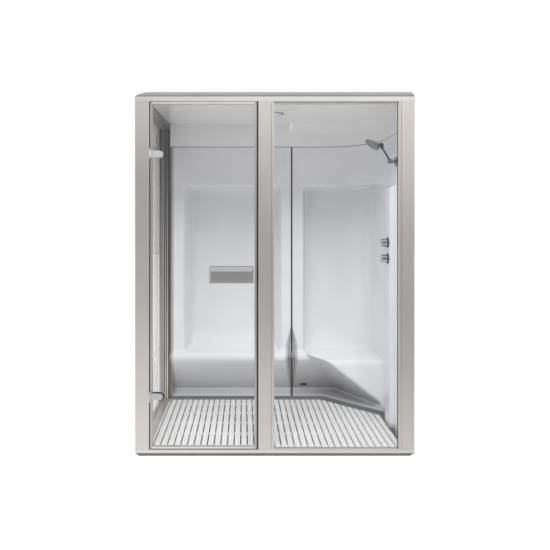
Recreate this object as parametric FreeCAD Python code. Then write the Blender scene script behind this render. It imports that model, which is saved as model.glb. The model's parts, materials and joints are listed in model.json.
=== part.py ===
import FreeCAD, Part

import math
import os

# A steam sauna cabin for two: an aluminium front frame with a hinged glass door and a fixed
# pane, a glass left side, and a white acrylic liner with two moulded seats.
# Millimetres. X runs to the right, Y runs from the front to the back, Z runs up. The origin is
# the centre of the cabin's footprint on the floor, with the handle's reach counted in.
Vector = FreeCAD.Vector
across = Vector(1, 0, 0)
inward = Vector(0, 1, 0)
upward = Vector(0, 0, 1)

# Driving sizes of the cabin
cabin_width = 1680.0
cabin_depth = 1150.0
cabin_height = 2210.0
overrun = 5.0
aligned_share = 0.999

# Aluminium frame
frame_depth = 34.0
left_post_width = 86.0
mullion_width = 93.0
right_post_width = 95.0
door_opening_width = 655.0
side_rail_width = 83.0
side_opening_length = 816.0
extrusion_wall = 2.5
post_edge_radius = 3.0
cornice_height = 72.0
cornice_face_height = 30.0
cornice_groove = 3.0
cornice_shoulder_inset = 25.0
cornice_shoulder_height = 53.0
cornice_crown_inset = 61.0
sill_height = 48.0
sill_toe_height = 27.0
sill_toe_inset = 21.0
door_stop_width = 8.0
door_stop_depth = 8.0
cleat_length = 60.0
cleat_clearance = 0.5

# Glazing
glass_thickness = 8.0
glazing_setback = 14.0
side_glazing_setback = 21.0
gasket_cheek = 3.0
gasket_lip = 3.0
channel_depth = 12.0
bead_width = 15.0
bead_joint = 1.2

# Door leaf
door_face_setback = 2.0
door_profile_depth = 20.0
door_glass_thickness = 6.0
door_stile_width = 13.0
door_groove_depth = 7.0
door_hinge_gap = 6.0
door_head_gap = 3.0
door_sill_gap = 4.0
door_seal_gap = 1.0
magnet_strip_width = 7.0
magnet_strip_depth = 12.0
strike_thickness = 1.5
sweep_height = 3.0
sweep_depth = 8.0
stop_seal_thickness = 3.5

# Door hinges
hinge_upper_drop = 316.0
hinge_lower_z = 365.0
hinge_height = 40.0
hinge_leaf_reach = 76.0
hinge_leaf_thickness = 5.0
hinge_knuckle_radius = 6.0
hinge_pin_radius = 3.0
hinge_pin_clearance = 0.05
hinge_pin_head_radius = 5.0
hinge_pin_head_height = 2.0
hinge_lug_height = 10.0
hinge_gap = 0.5
hinge_bracket_thickness = 3.0
hinge_bracket_depth = 26.0
hinge_screw_radius = 4.0
hinge_screw_inset = 22.0
hinge_screw_spacing = 20.0

# Door handle
handle_length = 267.0
handle_height = 101.0
handle_depth = 37.0
handle_end_margin = 20.0
handle_bottom_z = 1046.0
handle_top_bevel = 28.0
handle_bottom_bevel = 12.0
handle_lip_depth = 18.0
handle_wall = 3.5
handle_end_bevel = 12.0
handle_post_radius = 9.0
handle_post_inset = 30.0
handle_bolt_radius = 4.0

# Acrylic liner: the inner faces of the room, as depths behind the front faces of the posts
liner_thickness = 6.0
room_right_margin = 20.0
wall_depth = 857.0
room_corner_radius = 360.0
joint_drop = 133.0
tray_floor_z = 22.0
module_joint_offset = 181.0
module_joint_gap = 2.0

# Seats and footwell
seat_z = 413.0
seat_nose_depth = 768.0
seat_nose_radius = 25.0
riser_foot_depth = 1025.0
footwell_ledge_z = 65.0
footwell_ledge_depth = 887.0
footwell_back_depth = 1045.0
footwell_end_wall = 6.0

# Seat niches
niche_wall_gap = 63.0
niche_top_drop = 308.0
niche_top_slope = 42.0
niche_side_slope = 46.0
niche_cove_radius = 140.0
niche_cover = 120.0
left_niche_wall_gap = 104.0
left_niche_joint_gap = 76.0
right_niche_joint_gap = 94.0
right_niche_radius = 300.0

# Corner lounge seat: its nose runs forward to a point and a slanted riser falls away from there
lounge_face_depth = 595.0
lounge_point_reach = 397.0
lounge_toe_reach = 8.0
lounge_toe_depth = 620.0
lounge_toe_z = 70.0
lounge_valley_reach = 260.0
lounge_valley_depth = 1040.0
lounge_ledge_end_reach = 7.0
lounge_ledge_end_depth = 567.0
lounge_ledge_start_reach = 394.0
lounge_joint_gap = 9.0

# Service column on the right wall
column_proud = 40.0
column_front_depth = 288.0
column_back_depth = 433.0
column_top_drop = 350.0
column_radius = 16.0

# Ceiling
ceiling_thickness = 5.0
ceiling_rise = 42.0
ceiling_cove_radius = 95.0

# Ceiling lamp
lamp_joint_gap = 166.0
lamp_depth = 412.0
lamp_bezel_radius = 75.0
lamp_lens_radius = 58.0
lamp_bezel_thickness = 5.0
lamp_lens_thickness = 4.0
lamp_housing_radius = 61.0
lamp_housing_height = 24.0
lamp_housing_wall = 2.0

# Tray and duckboard
tray_thickness = 8.0
tray_rim_width = 10.0
tray_right_rim_height = 83.0
tray_right_rim_width = 8.0
tray_back_depth = 1100.0
slat_pitch = 41.0
slat_gap = 8.0
slat_thickness = 16.0
duckboard_left_gap = 23.0
duckboard_right_gap = 37.0
duckboard_front_gap = 3.0
duckboard_rear_gap = 55.0
bearer_width = 30.0
bearer_height = 12.0
bearer_share = (0.06, 0.28, 0.50, 0.72, 0.94)
bearer_inset = 10.0

# Waste
waste_joint_gap = 121.0
waste_depth = 690.0
waste_flange_radius = 45.0
waste_flange_recess = 4.0
waste_spigot_radius = 20.0
waste_neck_radius = 24.0
waste_bore_radius = 17.0
waste_floor_gap = 2.0
waste_cover_radius = 40.0
waste_cover_thickness = 2.5
waste_slot_width = 4.0
waste_slot_length = 44.0
waste_slot_pitch = 10.0
waste_slot_count = 5

# Base
base_pad_thickness = 2.0
runner_width = 40.0
runner_count = 6
runner_end_gap = 30.0
pad_length = 60.0

# Rear carcass
rear_tube = 30.0
fixing_plate_thickness = 3.0
fixing_plate_width = 50.0
fixing_plate_drop = 70.0
fixing_hole_radius = 5.0
fixing_hole_drop = 55.0
fixing_inset = 240.0
rear_low_rail_z = 377.0
arm_count = 6
arm_front_depth = 825.0
bracket_length = 30.0
end_panel_thickness = 4.0
end_panel_inset = 2.0
batten_width = 40.0
batten_share = (0, 0.33, 1)

# Steam supply
nozzle_joint_gap = 113.0
nozzle_z = 119.0
nozzle_flange_radius = 22.0
nozzle_flange_thickness = 5.0
nozzle_spigot_radius = 12.0
nozzle_bore_radius = 8.0
nozzle_spigot_length = 30.0
generator_width = 380.0
generator_left_gap = 310.0
generator_depth = 118.0
generator_back_gap = 36.0
generator_base_z = 130.0
generator_height = 230.0
generator_radius = 12.0
steam_pipe_radius = 10.0
steam_pipe_bend = 40.0
steam_pipe_z = 300.0
generator_inlet_radius = 10.0
generator_inlet_length = 30.0
generator_inlet_inset = 50.0

# Shower fittings on the right wall
knob_depth_place = 345.0
temperature_knob_z = 1278.0
flow_knob_z = 1171.0
escutcheon_radius = 35.0
escutcheon_thickness = 8.0
knob_radius = 27.0
knob_length = 36.0
knob_groove_radius = 4.0
knob_groove_count = 6
knob_gap = 1.0
spindle_radius = 5.0
spindle_clearance = 0.05
spindle_length = 16.0
valve_width = 76.0
valve_thickness = 26.0
valve_margin = 45.0
shower_pipe_radius = 6.0
shower_pipe_bend = 12.0
shower_pipe_offset = 50.0
inlet_radius = 10.0
inlet_length = 26.0
inlet_spacing = 50.0
inlet_z = 1225.0
shower_outlet_depth = 279.0
shower_outlet_drop = 191.0
shower_flange_radius = 30.0
shower_flange_thickness = 8.0
shower_stub_length = 34.0
shower_stub_radius = 11.0
shower_fork_radius = 15.0
shower_fork_thickness = 6.0
shower_fork_gap = 0.5
shower_fork_slot = 13.0
shower_fork_collar = 24.0
shower_pin_radius = 3.0
shower_pin_clearance = 0.05
shower_arm_radius = 6.0
shower_arm_run = 63.0
shower_arm_rise = 106.0
shower_head_radius = 53.5
shower_head_thickness = 33.0
shower_head_neck_radius = 14.0
shower_head_rim = 9.0
shower_head_reach = 47.0
shower_head_offset = 5.0
shower_head_tilt = 38.0

# Places worked out from the sizes
left_x = -cabin_width / 2
right_x = cabin_width / 2
door_glass_depth = door_face_setback + (door_profile_depth - door_glass_thickness) / 2
handle_reach = handle_depth - door_glass_depth
front_y = (handle_reach - cabin_depth) / 2
back_y = front_y + cabin_depth
frame_back_y = front_y + frame_depth
head_z = cabin_height - cornice_height
door_left_x = left_x + left_post_width
door_right_x = door_left_x + door_opening_width
hinge_upper_z = head_z - hinge_upper_drop
joint_z = head_z - joint_drop
ceiling_rear_z = head_z + ceiling_rise
niche_top_z = joint_z - niche_top_drop
column_top_z = joint_z - column_top_drop
shower_outlet_z = joint_z - shower_outlet_drop
window_left_x = door_right_x + mullion_width
window_right_x = right_x - right_post_width
room_left_x = left_x + side_rail_width
room_right_x = right_x - room_right_margin
module_joint_x = (left_x + right_x) / 2 + module_joint_offset
niche_depth = cabin_depth - niche_wall_gap
left_niche_left_x = room_left_x + left_niche_wall_gap
left_niche_right_x = module_joint_x - left_niche_joint_gap
right_niche_left_x = module_joint_x + right_niche_joint_gap
lounge_start_x = module_joint_x + lounge_joint_gap
lounge_point_x = room_right_x - lounge_point_reach
lounge_toe_x = room_right_x + lounge_toe_reach
lounge_valley_x = room_right_x - lounge_valley_reach
lounge_ledge_start_x = room_right_x - lounge_ledge_start_reach
lounge_ledge_end_x = room_right_x - lounge_ledge_end_reach
duckboard_left_x = room_left_x + duckboard_left_gap
slat_count = int((room_right_x - duckboard_right_gap - duckboard_left_x + slat_gap) // slat_pitch)
nozzle_x = module_joint_x + nozzle_joint_gap
lamp_x = module_joint_x - lamp_joint_gap
waste_x = module_joint_x - waste_joint_gap
generator_left_x = left_x + generator_left_gap
generator_right_x = generator_left_x + generator_width
rear_post_y = frame_back_y + side_opening_length
rear_post_back_y = rear_post_y + frame_depth
channel_front = glazing_setback - gasket_cheek
channel_back = glazing_setback + glass_thickness + gasket_cheek
hinge_x = door_left_x + door_hinge_gap
hinge_y = front_y + door_face_setback - hinge_leaf_thickness - hinge_pin_radius
door_leaf_left_x = door_left_x + door_hinge_gap
door_leaf_right_x = door_right_x - strike_thickness - door_seal_gap - magnet_strip_width
door_leaf_bottom_z = sill_height + door_sill_gap
door_leaf_top_z = head_z - door_head_gap
door_face_y = front_y + door_face_setback
door_back_y = door_face_y + door_profile_depth
door_glass_y = front_y + door_glass_depth
door_glass_back_y = door_glass_y + door_glass_thickness
tray_under_z = tray_floor_z - tray_thickness
duckboard_under_z = tray_floor_z + bearer_height
duckboard_top_z = duckboard_under_z + slat_thickness
riser_run = riser_foot_depth - seat_nose_depth
riser_rise = seat_z - footwell_ledge_z
riser_slant = math.hypot(riser_run, riser_rise)
rear_frame_y = back_y - fixing_plate_thickness - rear_tube


def block(x_low, x_high, y_low, y_high, z_low, z_high):
    """A box between two corners."""
    size = Vector(x_high - x_low, y_high - y_low, z_high - z_low)
    return Part.makeBox(size.x, size.y, size.z, Vector(x_low, y_low, z_low))


def prism(points, run):
    """A flat outline, extruded along a vector."""
    return Part.Face(Part.makePolygon(points + points[:1])).extrude(run)


def plan_prism(points, z_low, z_high):
    """An outline of (x, y) points, extruded upwards."""
    return prism([Vector(x, y, z_low) for x, y in points], upward * (z_high - z_low))


def side_prism(points, x_low, x_high):
    """An outline of (y, z) points, extruded along X."""
    return prism([Vector(x_low, y, z) for y, z in points], across * (x_high - x_low))


def front_prism(points, y_low, y_high):
    """An outline of (x, z) points, extruded along Y."""
    return prism([Vector(x, y_low, z) for x, z in points], inward * (y_high - y_low))


def rod(start, end, radius):
    """A round bar between two points."""
    return Part.makeCylinder(radius, (end - start).Length, start, end - start)


def fuse_all(solids):
    """One solid from several that meet."""
    return solids[0].multiFuse(solids[1:]).removeSplitter() if len(solids) > 1 else solids[0]


def cut_all(solid, tools):
    """A solid less each of the tools."""
    for tool in tools:
        solid = solid.cut(tool)
    return solid


def edges_along(solid, axis, test):
    """The straight edges that run along an axis and whose middle passes a test."""
    found = []
    for edge in solid.Edges:
        ends = [vertex.Point for vertex in edge.Vertexes]
        if len(ends) == 2 and abs((ends[1] - ends[0]).normalize().dot(axis)) > aligned_share:
            if test((ends[0] + ends[1]) / 2):
                found.append(edge)
    return found


def round_edges(solid, radius, axis, test):
    """Rounds the straight edges along an axis whose middle passes a test."""
    return solid.makeFillet(radius, edges_along(solid, axis, test))


def half_space(point, normal, reach):
    """A large block on the side of a plane that its normal points to."""
    slab = Part.makeBox(2 * reach, 2 * reach, reach, Vector(-reach, -reach, 0))
    slab.Placement = FreeCAD.Placement(point, FreeCAD.Rotation(upward, normal))
    return slab


def pipe(points, radius, bend_radius):
    """A round pipe along straight runs joined by tangent arcs."""
    edges = []
    start = points[0]
    for before, corner, after in zip(points, points[1:], points[2:]):
        back = (before - corner).normalize()
        ahead = (after - corner).normalize()
        half_turn = (math.pi - back.getAngle(ahead)) / 2
        reach = bend_radius * math.tan(half_turn)
        bisector = (back + ahead).normalize()
        centre = corner + bisector * (bend_radius / math.cos(half_turn))
        arc_start = corner + back * reach
        arc_end = corner + ahead * reach
        edges.append(Part.LineSegment(start, arc_start).toShape())
        edges.append(Part.Arc(arc_start, centre - bisector * bend_radius, arc_end).toShape())
        start = arc_end
    edges.append(Part.LineSegment(start, points[-1]).toShape())
    ring = Part.Wire([Part.makeCircle(radius, points[0], points[1] - points[0])])
    return Part.Wire(edges).makePipeShell([ring], True, False)


def save(name, *solids):
    """Writes one sub-part."""
    shape = solids[0] if len(solids) == 1 else Part.makeCompound(list(solids))
    shape.exportStep(f"parts/{name}.step")
    print(name, len(shape.Solids), round(shape.Volume), shape.isValid())


def post(x_low, x_high, y_low, chamber_left, chamber_right, chamber_back):
    """A hollow post from the sill to the cornice, with its chamber set in from each side."""
    solid = block(x_low, x_high, y_low, y_low + frame_depth, sill_height, head_z)
    solid = round_edges(solid, post_edge_radius, upward, lambda middle: middle.y < y_low + overrun)
    chamber = block(
        x_low + chamber_left, x_high - chamber_right, y_low + extrusion_wall,
        y_low + frame_depth - chamber_back, sill_height - overrun, head_z + overrun,
    )
    return solid.cut(chamber)


def door_stop(x_low, x_high):
    """The fin that the closed door rests against."""
    return block(x_low, x_high, frame_back_y - door_stop_depth, frame_back_y, sill_height, head_z)


def side_channel(y_low, y_high, z_low, z_high):
    """The room that the side glass and its gasket take in a rail or post."""
    x_low = left_x + side_glazing_setback - gasket_cheek
    return block(x_low, x_low + glass_thickness + 2 * gasket_cheek, y_low, y_high, z_low, z_high)


def front_channel(x_low, x_high, z_low, z_high):
    """The room that the fixed pane and its gasket take in a rail or post."""
    return block(x_low, x_high, front_y + channel_front, front_y + channel_back, z_low, z_high)


def bead_pocket(x_low, x_high):
    """The rebate in a post that its glazing bead snaps into, with the pane behind."""
    return block(x_low, x_high, front_y - overrun, front_y + channel_back, sill_height, head_z)


def build_posts():
    wall = extrusion_wall
    web = channel_depth + wall
    left = post(left_x, door_left_x, front_y, wall, wall, web)
    left = left.fuse(door_stop(door_left_x, door_left_x + door_stop_width)).removeSplitter()
    left = left.cut(side_channel(frame_back_y - channel_depth, frame_back_y + overrun, sill_height, head_z))
    middle = post(door_right_x, window_left_x, front_y, wall, bead_width + wall, wall)
    middle = middle.fuse(door_stop(door_right_x - door_stop_width, door_right_x)).removeSplitter()
    middle = middle.cut(bead_pocket(window_left_x - bead_width, window_left_x + overrun))
    right = post(window_right_x, right_x, front_y, bead_width + wall, wall, wall)
    right = right.cut(bead_pocket(window_right_x - overrun, window_right_x + bead_width))
    rear = block(left_x, room_left_x, rear_post_y, rear_post_back_y, sill_height, head_z)
    chamber = block(
        left_x + wall, room_left_x - wall, rear_post_y + web,
        rear_post_back_y - wall, sill_height - overrun, head_z + overrun,
    )
    rear = rear.cut(chamber)
    rear = rear.cut(side_channel(rear_post_y - overrun, rear_post_y + channel_depth, sill_height, head_z))
    save("left_post", left)
    save("center_mullion", middle)
    save("right_post", right)
    save("rear_left_post", rear)


def build_beads():
    beads = []
    for x_low in (window_left_x - bead_width + bead_joint, window_right_x):
        x_high = x_low + bead_width - bead_joint
        beads.append(block(x_low, x_high, front_y, front_y + channel_front, sill_height, head_z))
    save("front_glazing_beads", *beads)


def build_cleats():
    """Blocks in the post chambers, under the cornice and over the sill."""
    wall = extrusion_wall + cleat_clearance
    spans = [
        (left_x + wall, door_left_x - wall, front_y, channel_depth + wall),
        (door_right_x + wall, window_left_x - bead_width - wall, front_y, wall),
        (window_right_x + bead_width + wall, right_x - wall, front_y, wall),
    ]
    cleats = []
    for x_low, x_high, y_low, back in spans:
        y_high = y_low + frame_depth - back
        for z_low in (sill_height, head_z - cleat_length):
            cleats.append(block(x_low, x_high, y_low + wall, y_high, z_low, z_low + cleat_length))
    for z_low in (sill_height, head_z - cleat_length):
        y_low = rear_post_y + channel_depth + wall
        y_high = rear_post_back_y - wall
        cleats.append(block(left_x + wall, room_left_x - wall, y_low, y_high, z_low, z_low + cleat_length))
    save("post_end_cleats", *cleats)


def mitre(width, length, z_low, z_high):
    """The corner of the front rail, cut at 45 degrees, as a block to take from the side rail."""
    points = [(0, 0), (width, width), (length, width), (length, -overrun), (-overrun, -overrun)]
    return plan_prism([(left_x + x, front_y + y) for x, y in points], z_low, z_high)


def glass_pockets(z_low, z_high):
    """The grooves in a rail for both fixed panes and their gaskets."""
    return [
        front_channel(window_left_x - channel_depth, window_right_x + channel_depth, z_low, z_high),
        side_channel(frame_back_y - channel_depth, rear_post_y + channel_depth, z_low, z_high),
    ]


def build_cornice():
    depth = side_rail_width
    outline = [
        (0, 0), (0, cornice_face_height), (cornice_groove, cornice_face_height),
        (cornice_groove, cornice_face_height + cornice_groove),
        (cornice_shoulder_inset, cornice_shoulder_height), (cornice_crown_inset, cornice_height),
        (depth, cornice_height), (depth, 0),
    ]
    front = side_prism([(front_y + inset, head_z + rise) for inset, rise in outline], left_x, right_x)
    side = front_prism([(left_x + inset, head_z + rise) for inset, rise in outline], front_y, back_y)
    z_low = head_z - overrun
    z_high = cabin_height + overrun
    corner = mitre(depth, cabin_width, z_low, z_high)
    pockets = glass_pockets(z_low, head_z + channel_depth)
    save("front_cornice", cut_all(front.common(corner), pockets))
    save("side_cornice", cut_all(side.cut(corner), pockets))


def build_sill():
    def outline(depth):
        return [
            (sill_toe_inset, 0), (0, sill_toe_height), (0, sill_height),
            (depth, sill_height), (depth, 0),
        ]
    front = side_prism([(front_y + inset, rise) for inset, rise in outline(frame_depth)], left_x, right_x)
    end_toe = front_prism(
        [
            (right_x - sill_toe_inset, 0), (right_x, sill_toe_height),
            (right_x, -overrun), (right_x - sill_toe_inset, -overrun),
        ],
        front_y - overrun, frame_back_y + overrun,
    )
    side = front_prism([(left_x + inset, rise) for inset, rise in outline(side_rail_width)], front_y, back_y)
    corner = mitre(frame_depth, cabin_width, -overrun, sill_height + overrun)
    pockets = glass_pockets(sill_height - channel_depth, sill_height + overrun)
    save("front_sill", cut_all(front.common(corner), [end_toe] + pockets))
    save("side_sill", cut_all(side.cut(corner), pockets))


def build_fixed_glass():
    """The fixed front pane and the left side pane, each in a gasket."""
    x_low = window_left_x - channel_depth
    x_high = window_right_x + channel_depth
    z_low = sill_height - channel_depth
    z_high = head_z + channel_depth
    edge = gasket_cheek
    glass_front = front_y + glazing_setback
    glass_back = glass_front + glass_thickness
    pane = block(x_low + edge, x_high - edge, glass_front, glass_back, z_low + edge, z_high - edge)
    gasket = block(x_low, x_high, front_y + channel_front, front_y + channel_back, z_low, z_high)
    sight = block(
        window_left_x + gasket_lip, window_right_x - gasket_lip, front_y, frame_back_y,
        sill_height + gasket_lip, head_z - gasket_lip,
    )
    save("fixed_front_glass", pane)
    save("front_glass_gasket", gasket.cut(pane).cut(sight))
    y_low = frame_back_y - channel_depth
    y_high = rear_post_y + channel_depth
    glass_left = left_x + side_glazing_setback
    glass_right = glass_left + glass_thickness
    pane = block(glass_left, glass_right, y_low + edge, y_high - edge, z_low + edge, z_high - edge)
    gasket = side_channel(y_low, y_high, z_low, z_high)
    sight = block(
        left_x, room_left_x, frame_back_y + gasket_lip, rear_post_y - gasket_lip,
        sill_height + gasket_lip, head_z - gasket_lip,
    )
    save("side_glass", pane)
    save("side_glass_gasket", gasket.cut(pane).cut(sight))


def build_door_stops():
    """The stop seal round the door opening and the strip that holds the closed door."""
    y_high = frame_back_y - door_stop_depth
    y_low = y_high - stop_seal_thickness
    strips = [
        block(door_left_x, door_left_x + door_stop_width, y_low, y_high, sill_height, head_z),
        block(
            door_right_x - door_stop_width, door_right_x - strike_thickness, y_low, y_high,
            sill_height, head_z,
        ),
    ]
    strike_y = door_face_y + (door_profile_depth - magnet_strip_depth) / 2
    strike = block(
        door_right_x - strike_thickness, door_right_x,
        strike_y, strike_y + magnet_strip_depth, door_leaf_bottom_z, door_leaf_top_z,
    )
    save("door_stop_seals", *strips)
    save("magnet_strike_strip", strike)


def door_rail(x_low, x_high, z_low, z_high, groove, notches):
    """A door profile with its glass groove and the notches for the hinge knuckles."""
    solid = block(x_low, x_high, door_face_y, door_back_y, z_low, z_high)
    return cut_all(solid, [groove] + notches)


def knuckle_zone(centre_z):
    """The clear room round a hinge's knuckle and lugs."""
    half = hinge_height / 2 + hinge_lug_height + hinge_gap
    reach = hinge_knuckle_radius + hinge_gap
    zone = rod(Vector(hinge_x, hinge_y, centre_z - half), Vector(hinge_x, hinge_y, centre_z + half), reach)
    return zone


def build_door_leaf():
    x_low, x_high = door_leaf_left_x, door_leaf_right_x
    z_low, z_high = door_leaf_bottom_z, door_leaf_top_z
    inset = door_stile_width - door_groove_depth
    glass = block(
        x_low + inset, x_high - inset, door_glass_y, door_glass_back_y, z_low + inset, z_high - inset,
    )
    bolts = [
        rod(Vector(x, door_face_y, z), Vector(x, door_back_y, z), handle_bolt_radius)
        for x in handle_post_places() for z in [handle_middle_z()]
    ]
    for centre_z in (hinge_lower_z, hinge_upper_z):
        for z in hinge_screw_places(centre_z):
            x = hinge_x + hinge_leaf_reach - hinge_screw_inset
            bolts.append(rod(Vector(x, door_face_y, z), Vector(x, door_back_y, z), hinge_screw_radius))
    notches = [knuckle_zone(hinge_lower_z), knuckle_zone(hinge_upper_z)]
    width = door_stile_width
    save("door_glass", cut_all(glass, bolts))
    save("door_hinge_stile", door_rail(x_low, x_low + width, z_low, z_high, glass, notches))
    save("door_lock_stile", door_rail(x_high - width, x_high, z_low, z_high, glass, []))
    save("door_top_rail", door_rail(x_low + width, x_high - width, z_high - width, z_high, glass, []))
    save("door_bottom_rail", door_rail(x_low + width, x_high - width, z_low, z_low + width, glass, []))
    seal_y = door_face_y + (door_profile_depth - magnet_strip_depth) / 2
    seal = block(x_high, x_high + magnet_strip_width, seal_y, seal_y + magnet_strip_depth, z_low, z_high)
    sweep_y = door_face_y + (door_profile_depth - sweep_depth) / 2
    sweep = block(x_low + width, x_high - width, sweep_y, sweep_y + sweep_depth, z_low - sweep_height, z_low)
    save("door_magnetic_seal", seal)
    save("door_bottom_sweep", sweep)


def hinge_screw_places(centre_z):
    """The heights of a hinge's two clamp screws."""
    return [centre_z - hinge_screw_spacing / 2, centre_z + hinge_screw_spacing / 2]


def hinge_plate(centre_z, x_low, y_low, y_high):
    """A plate with a half-round right end, as seen from the front."""
    radius = hinge_height / 2
    round_x = hinge_x + hinge_leaf_reach - radius
    flat = block(x_low, round_x, y_low, y_high, centre_z - radius, centre_z + radius)
    end = rod(Vector(round_x, y_low, centre_z), Vector(round_x, y_high, centre_z), radius)
    return flat.fuse(end).removeSplitter()


def hinge_leaf(centre_z):
    """The door's half of a hinge: outer plate with its knuckle, spacers and inner clamp plate."""
    radius = hinge_height / 2
    y_front = door_face_y - hinge_leaf_thickness
    clear_x = door_leaf_left_x + door_stile_width
    plate = hinge_plate(centre_z, hinge_x, y_front, door_face_y)
    knuckle = rod(
        Vector(hinge_x, hinge_y, centre_z - radius), Vector(hinge_x, hinge_y, centre_z + radius),
        hinge_knuckle_radius,
    )
    outer = plate.fuse(hinge_plate(centre_z, clear_x, door_face_y, door_glass_y)).fuse(knuckle)
    bore_radius = hinge_pin_radius + hinge_pin_clearance
    bore = rod(
        Vector(hinge_x, hinge_y, centre_z - radius - overrun),
        Vector(hinge_x, hinge_y, centre_z + radius + overrun), bore_radius,
    )
    outer = outer.removeSplitter().cut(bore)
    inner = hinge_plate(centre_z, clear_x, door_glass_back_y, door_back_y + hinge_leaf_thickness)
    screws = []
    for z in hinge_screw_places(centre_z):
        x = hinge_x + hinge_leaf_reach - hinge_screw_inset
        screws.append(rod(Vector(x, door_glass_y, z), Vector(x, door_glass_back_y, z), hinge_screw_radius))
    return [fuse_all([outer, inner] + screws)]


def hinge_lug_spans(centre_z):
    """The heights of a hinge's lower and upper lugs."""
    half = hinge_height / 2 + hinge_gap
    return [
        (centre_z - half - hinge_lug_height, centre_z - half),
        (centre_z + half, centre_z + half + hinge_lug_height),
    ]


def hinge_bracket(centre_z):
    """The frame's half of a hinge: a plate on the post's side and two lugs round the pin."""
    spans = hinge_lug_spans(centre_z)
    x_high = door_left_x + hinge_bracket_thickness
    plate = block(
        door_left_x, x_high, front_y, front_y + hinge_bracket_depth - stop_seal_thickness - door_stop_depth,
        spans[0][0], spans[1][1],
    )
    pieces = [plate]
    for z_low, z_high in spans:
        lug = rod(Vector(hinge_x, hinge_y, z_low), Vector(hinge_x, hinge_y, z_high), hinge_knuckle_radius)
        web = block(
            hinge_x - hinge_knuckle_radius, x_high, hinge_y, front_y + hinge_bracket_thickness,
            z_low, z_high,
        )
        web = web.cut(block(left_x, door_left_x, front_y, frame_back_y, z_low, z_high))
        pieces.extend([lug, web])
    bore = rod(
        Vector(hinge_x, hinge_y, spans[0][0] - overrun), Vector(hinge_x, hinge_y, spans[1][1] + overrun),
        hinge_pin_radius,
    )
    return fuse_all(pieces).cut(bore)


def hinge_pin(centre_z):
    """A pin with a head on each end, pressed in the lugs."""
    spans = hinge_lug_spans(centre_z)
    low = Vector(hinge_x, hinge_y, spans[0][0])
    high = Vector(hinge_x, hinge_y, spans[1][1])
    head = upward * hinge_pin_head_height
    return fuse_all([
        rod(low, high, hinge_pin_radius),
        rod(low - head, low, hinge_pin_head_radius),
        rod(high, high + head, hinge_pin_head_radius),
    ])


def build_hinges():
    save("upper_hinge_leaf", *hinge_leaf(hinge_upper_z))
    save("lower_hinge_leaf", *hinge_leaf(hinge_lower_z))
    save("hinge_post_brackets", hinge_bracket(hinge_lower_z), hinge_bracket(hinge_upper_z))
    save("hinge_pins", hinge_pin(hinge_lower_z), hinge_pin(hinge_upper_z))


def handle_right_x():
    """The handle's right end, held in from the door's edge."""
    return door_leaf_right_x - handle_end_margin


def handle_middle_z():
    """The height of the handle's posts."""
    return handle_bottom_z + (handle_height - handle_top_bevel + handle_bottom_bevel) / 2


def handle_post_places():
    """The places of the handle's two posts along X."""
    x_high = handle_right_x()
    return [x_high - handle_length + handle_post_inset, x_high - handle_post_inset]


def handle_grip(glass_y, side, gap_y):
    """A bevelled channel on two posts; side is -1 for the outer grip and 1 for the inner one."""
    x_high = handle_right_x()
    x_low = x_high - handle_length
    top = handle_bottom_z + handle_height

    def outline(wall):
        face = handle_depth - wall
        lip = handle_lip_depth - wall
        return [
            (lip, handle_bottom_z + wall), (face, handle_bottom_z + handle_bottom_bevel),
            (face, top - handle_top_bevel), (lip, top - wall),
        ]

    def shell(wall):
        points = [(glass_y + side * reach, z) for reach, z in outline(wall)]
        shape = side_prism(points, x_low + wall, x_high - wall)
        for x, end in ((x_low, -1), (x_high, 1)):
            corner = Vector(x - end * wall, glass_y + side * (handle_lip_depth - wall), 0)
            normal = Vector(end * (handle_depth - handle_lip_depth), side * handle_end_bevel, 0).normalize()
            shape = shape.cut(half_space(corner, normal, cabin_height * 2))
        return shape

    solid = shell(0)
    hollow = shell(handle_wall)
    shift = Vector(0, -side * (handle_wall + overrun), 0)
    hollow = hollow.fuse(hollow.translated(shift))
    face_y = glass_y + side * handle_depth
    grip = solid.cut(hollow)
    posts = [
        rod(Vector(x, gap_y, handle_middle_z()), Vector(x, face_y - side * handle_wall, handle_middle_z()),
            handle_post_radius)
        for x in handle_post_places()
    ]
    return fuse_all([grip] + posts)


def build_handle():
    outer = handle_grip(door_glass_y, -1, door_glass_y)
    bolts = [
        rod(Vector(x, door_glass_y, handle_middle_z()), Vector(x, door_glass_back_y, handle_middle_z()),
            handle_bolt_radius)
        for x in handle_post_places()
    ]
    save("handle_outer_grip", fuse_all([outer] + bolts))
    save("handle_inner_grip", handle_grip(door_glass_back_y, 1, door_glass_back_y))


def room_outline(offset):
    """The room's plan, grown by an offset: square at the left, one rounded back right corner."""
    back = front_y + wall_depth + offset
    right = room_right_x + offset
    outline = block(room_left_x, right, front_y + frame_depth, back, 0, cabin_height)
    return round_edges(
        outline, room_corner_radius + offset, upward,
        lambda middle: middle.x > right - overrun and middle.y > back - overrun,
    )


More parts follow.
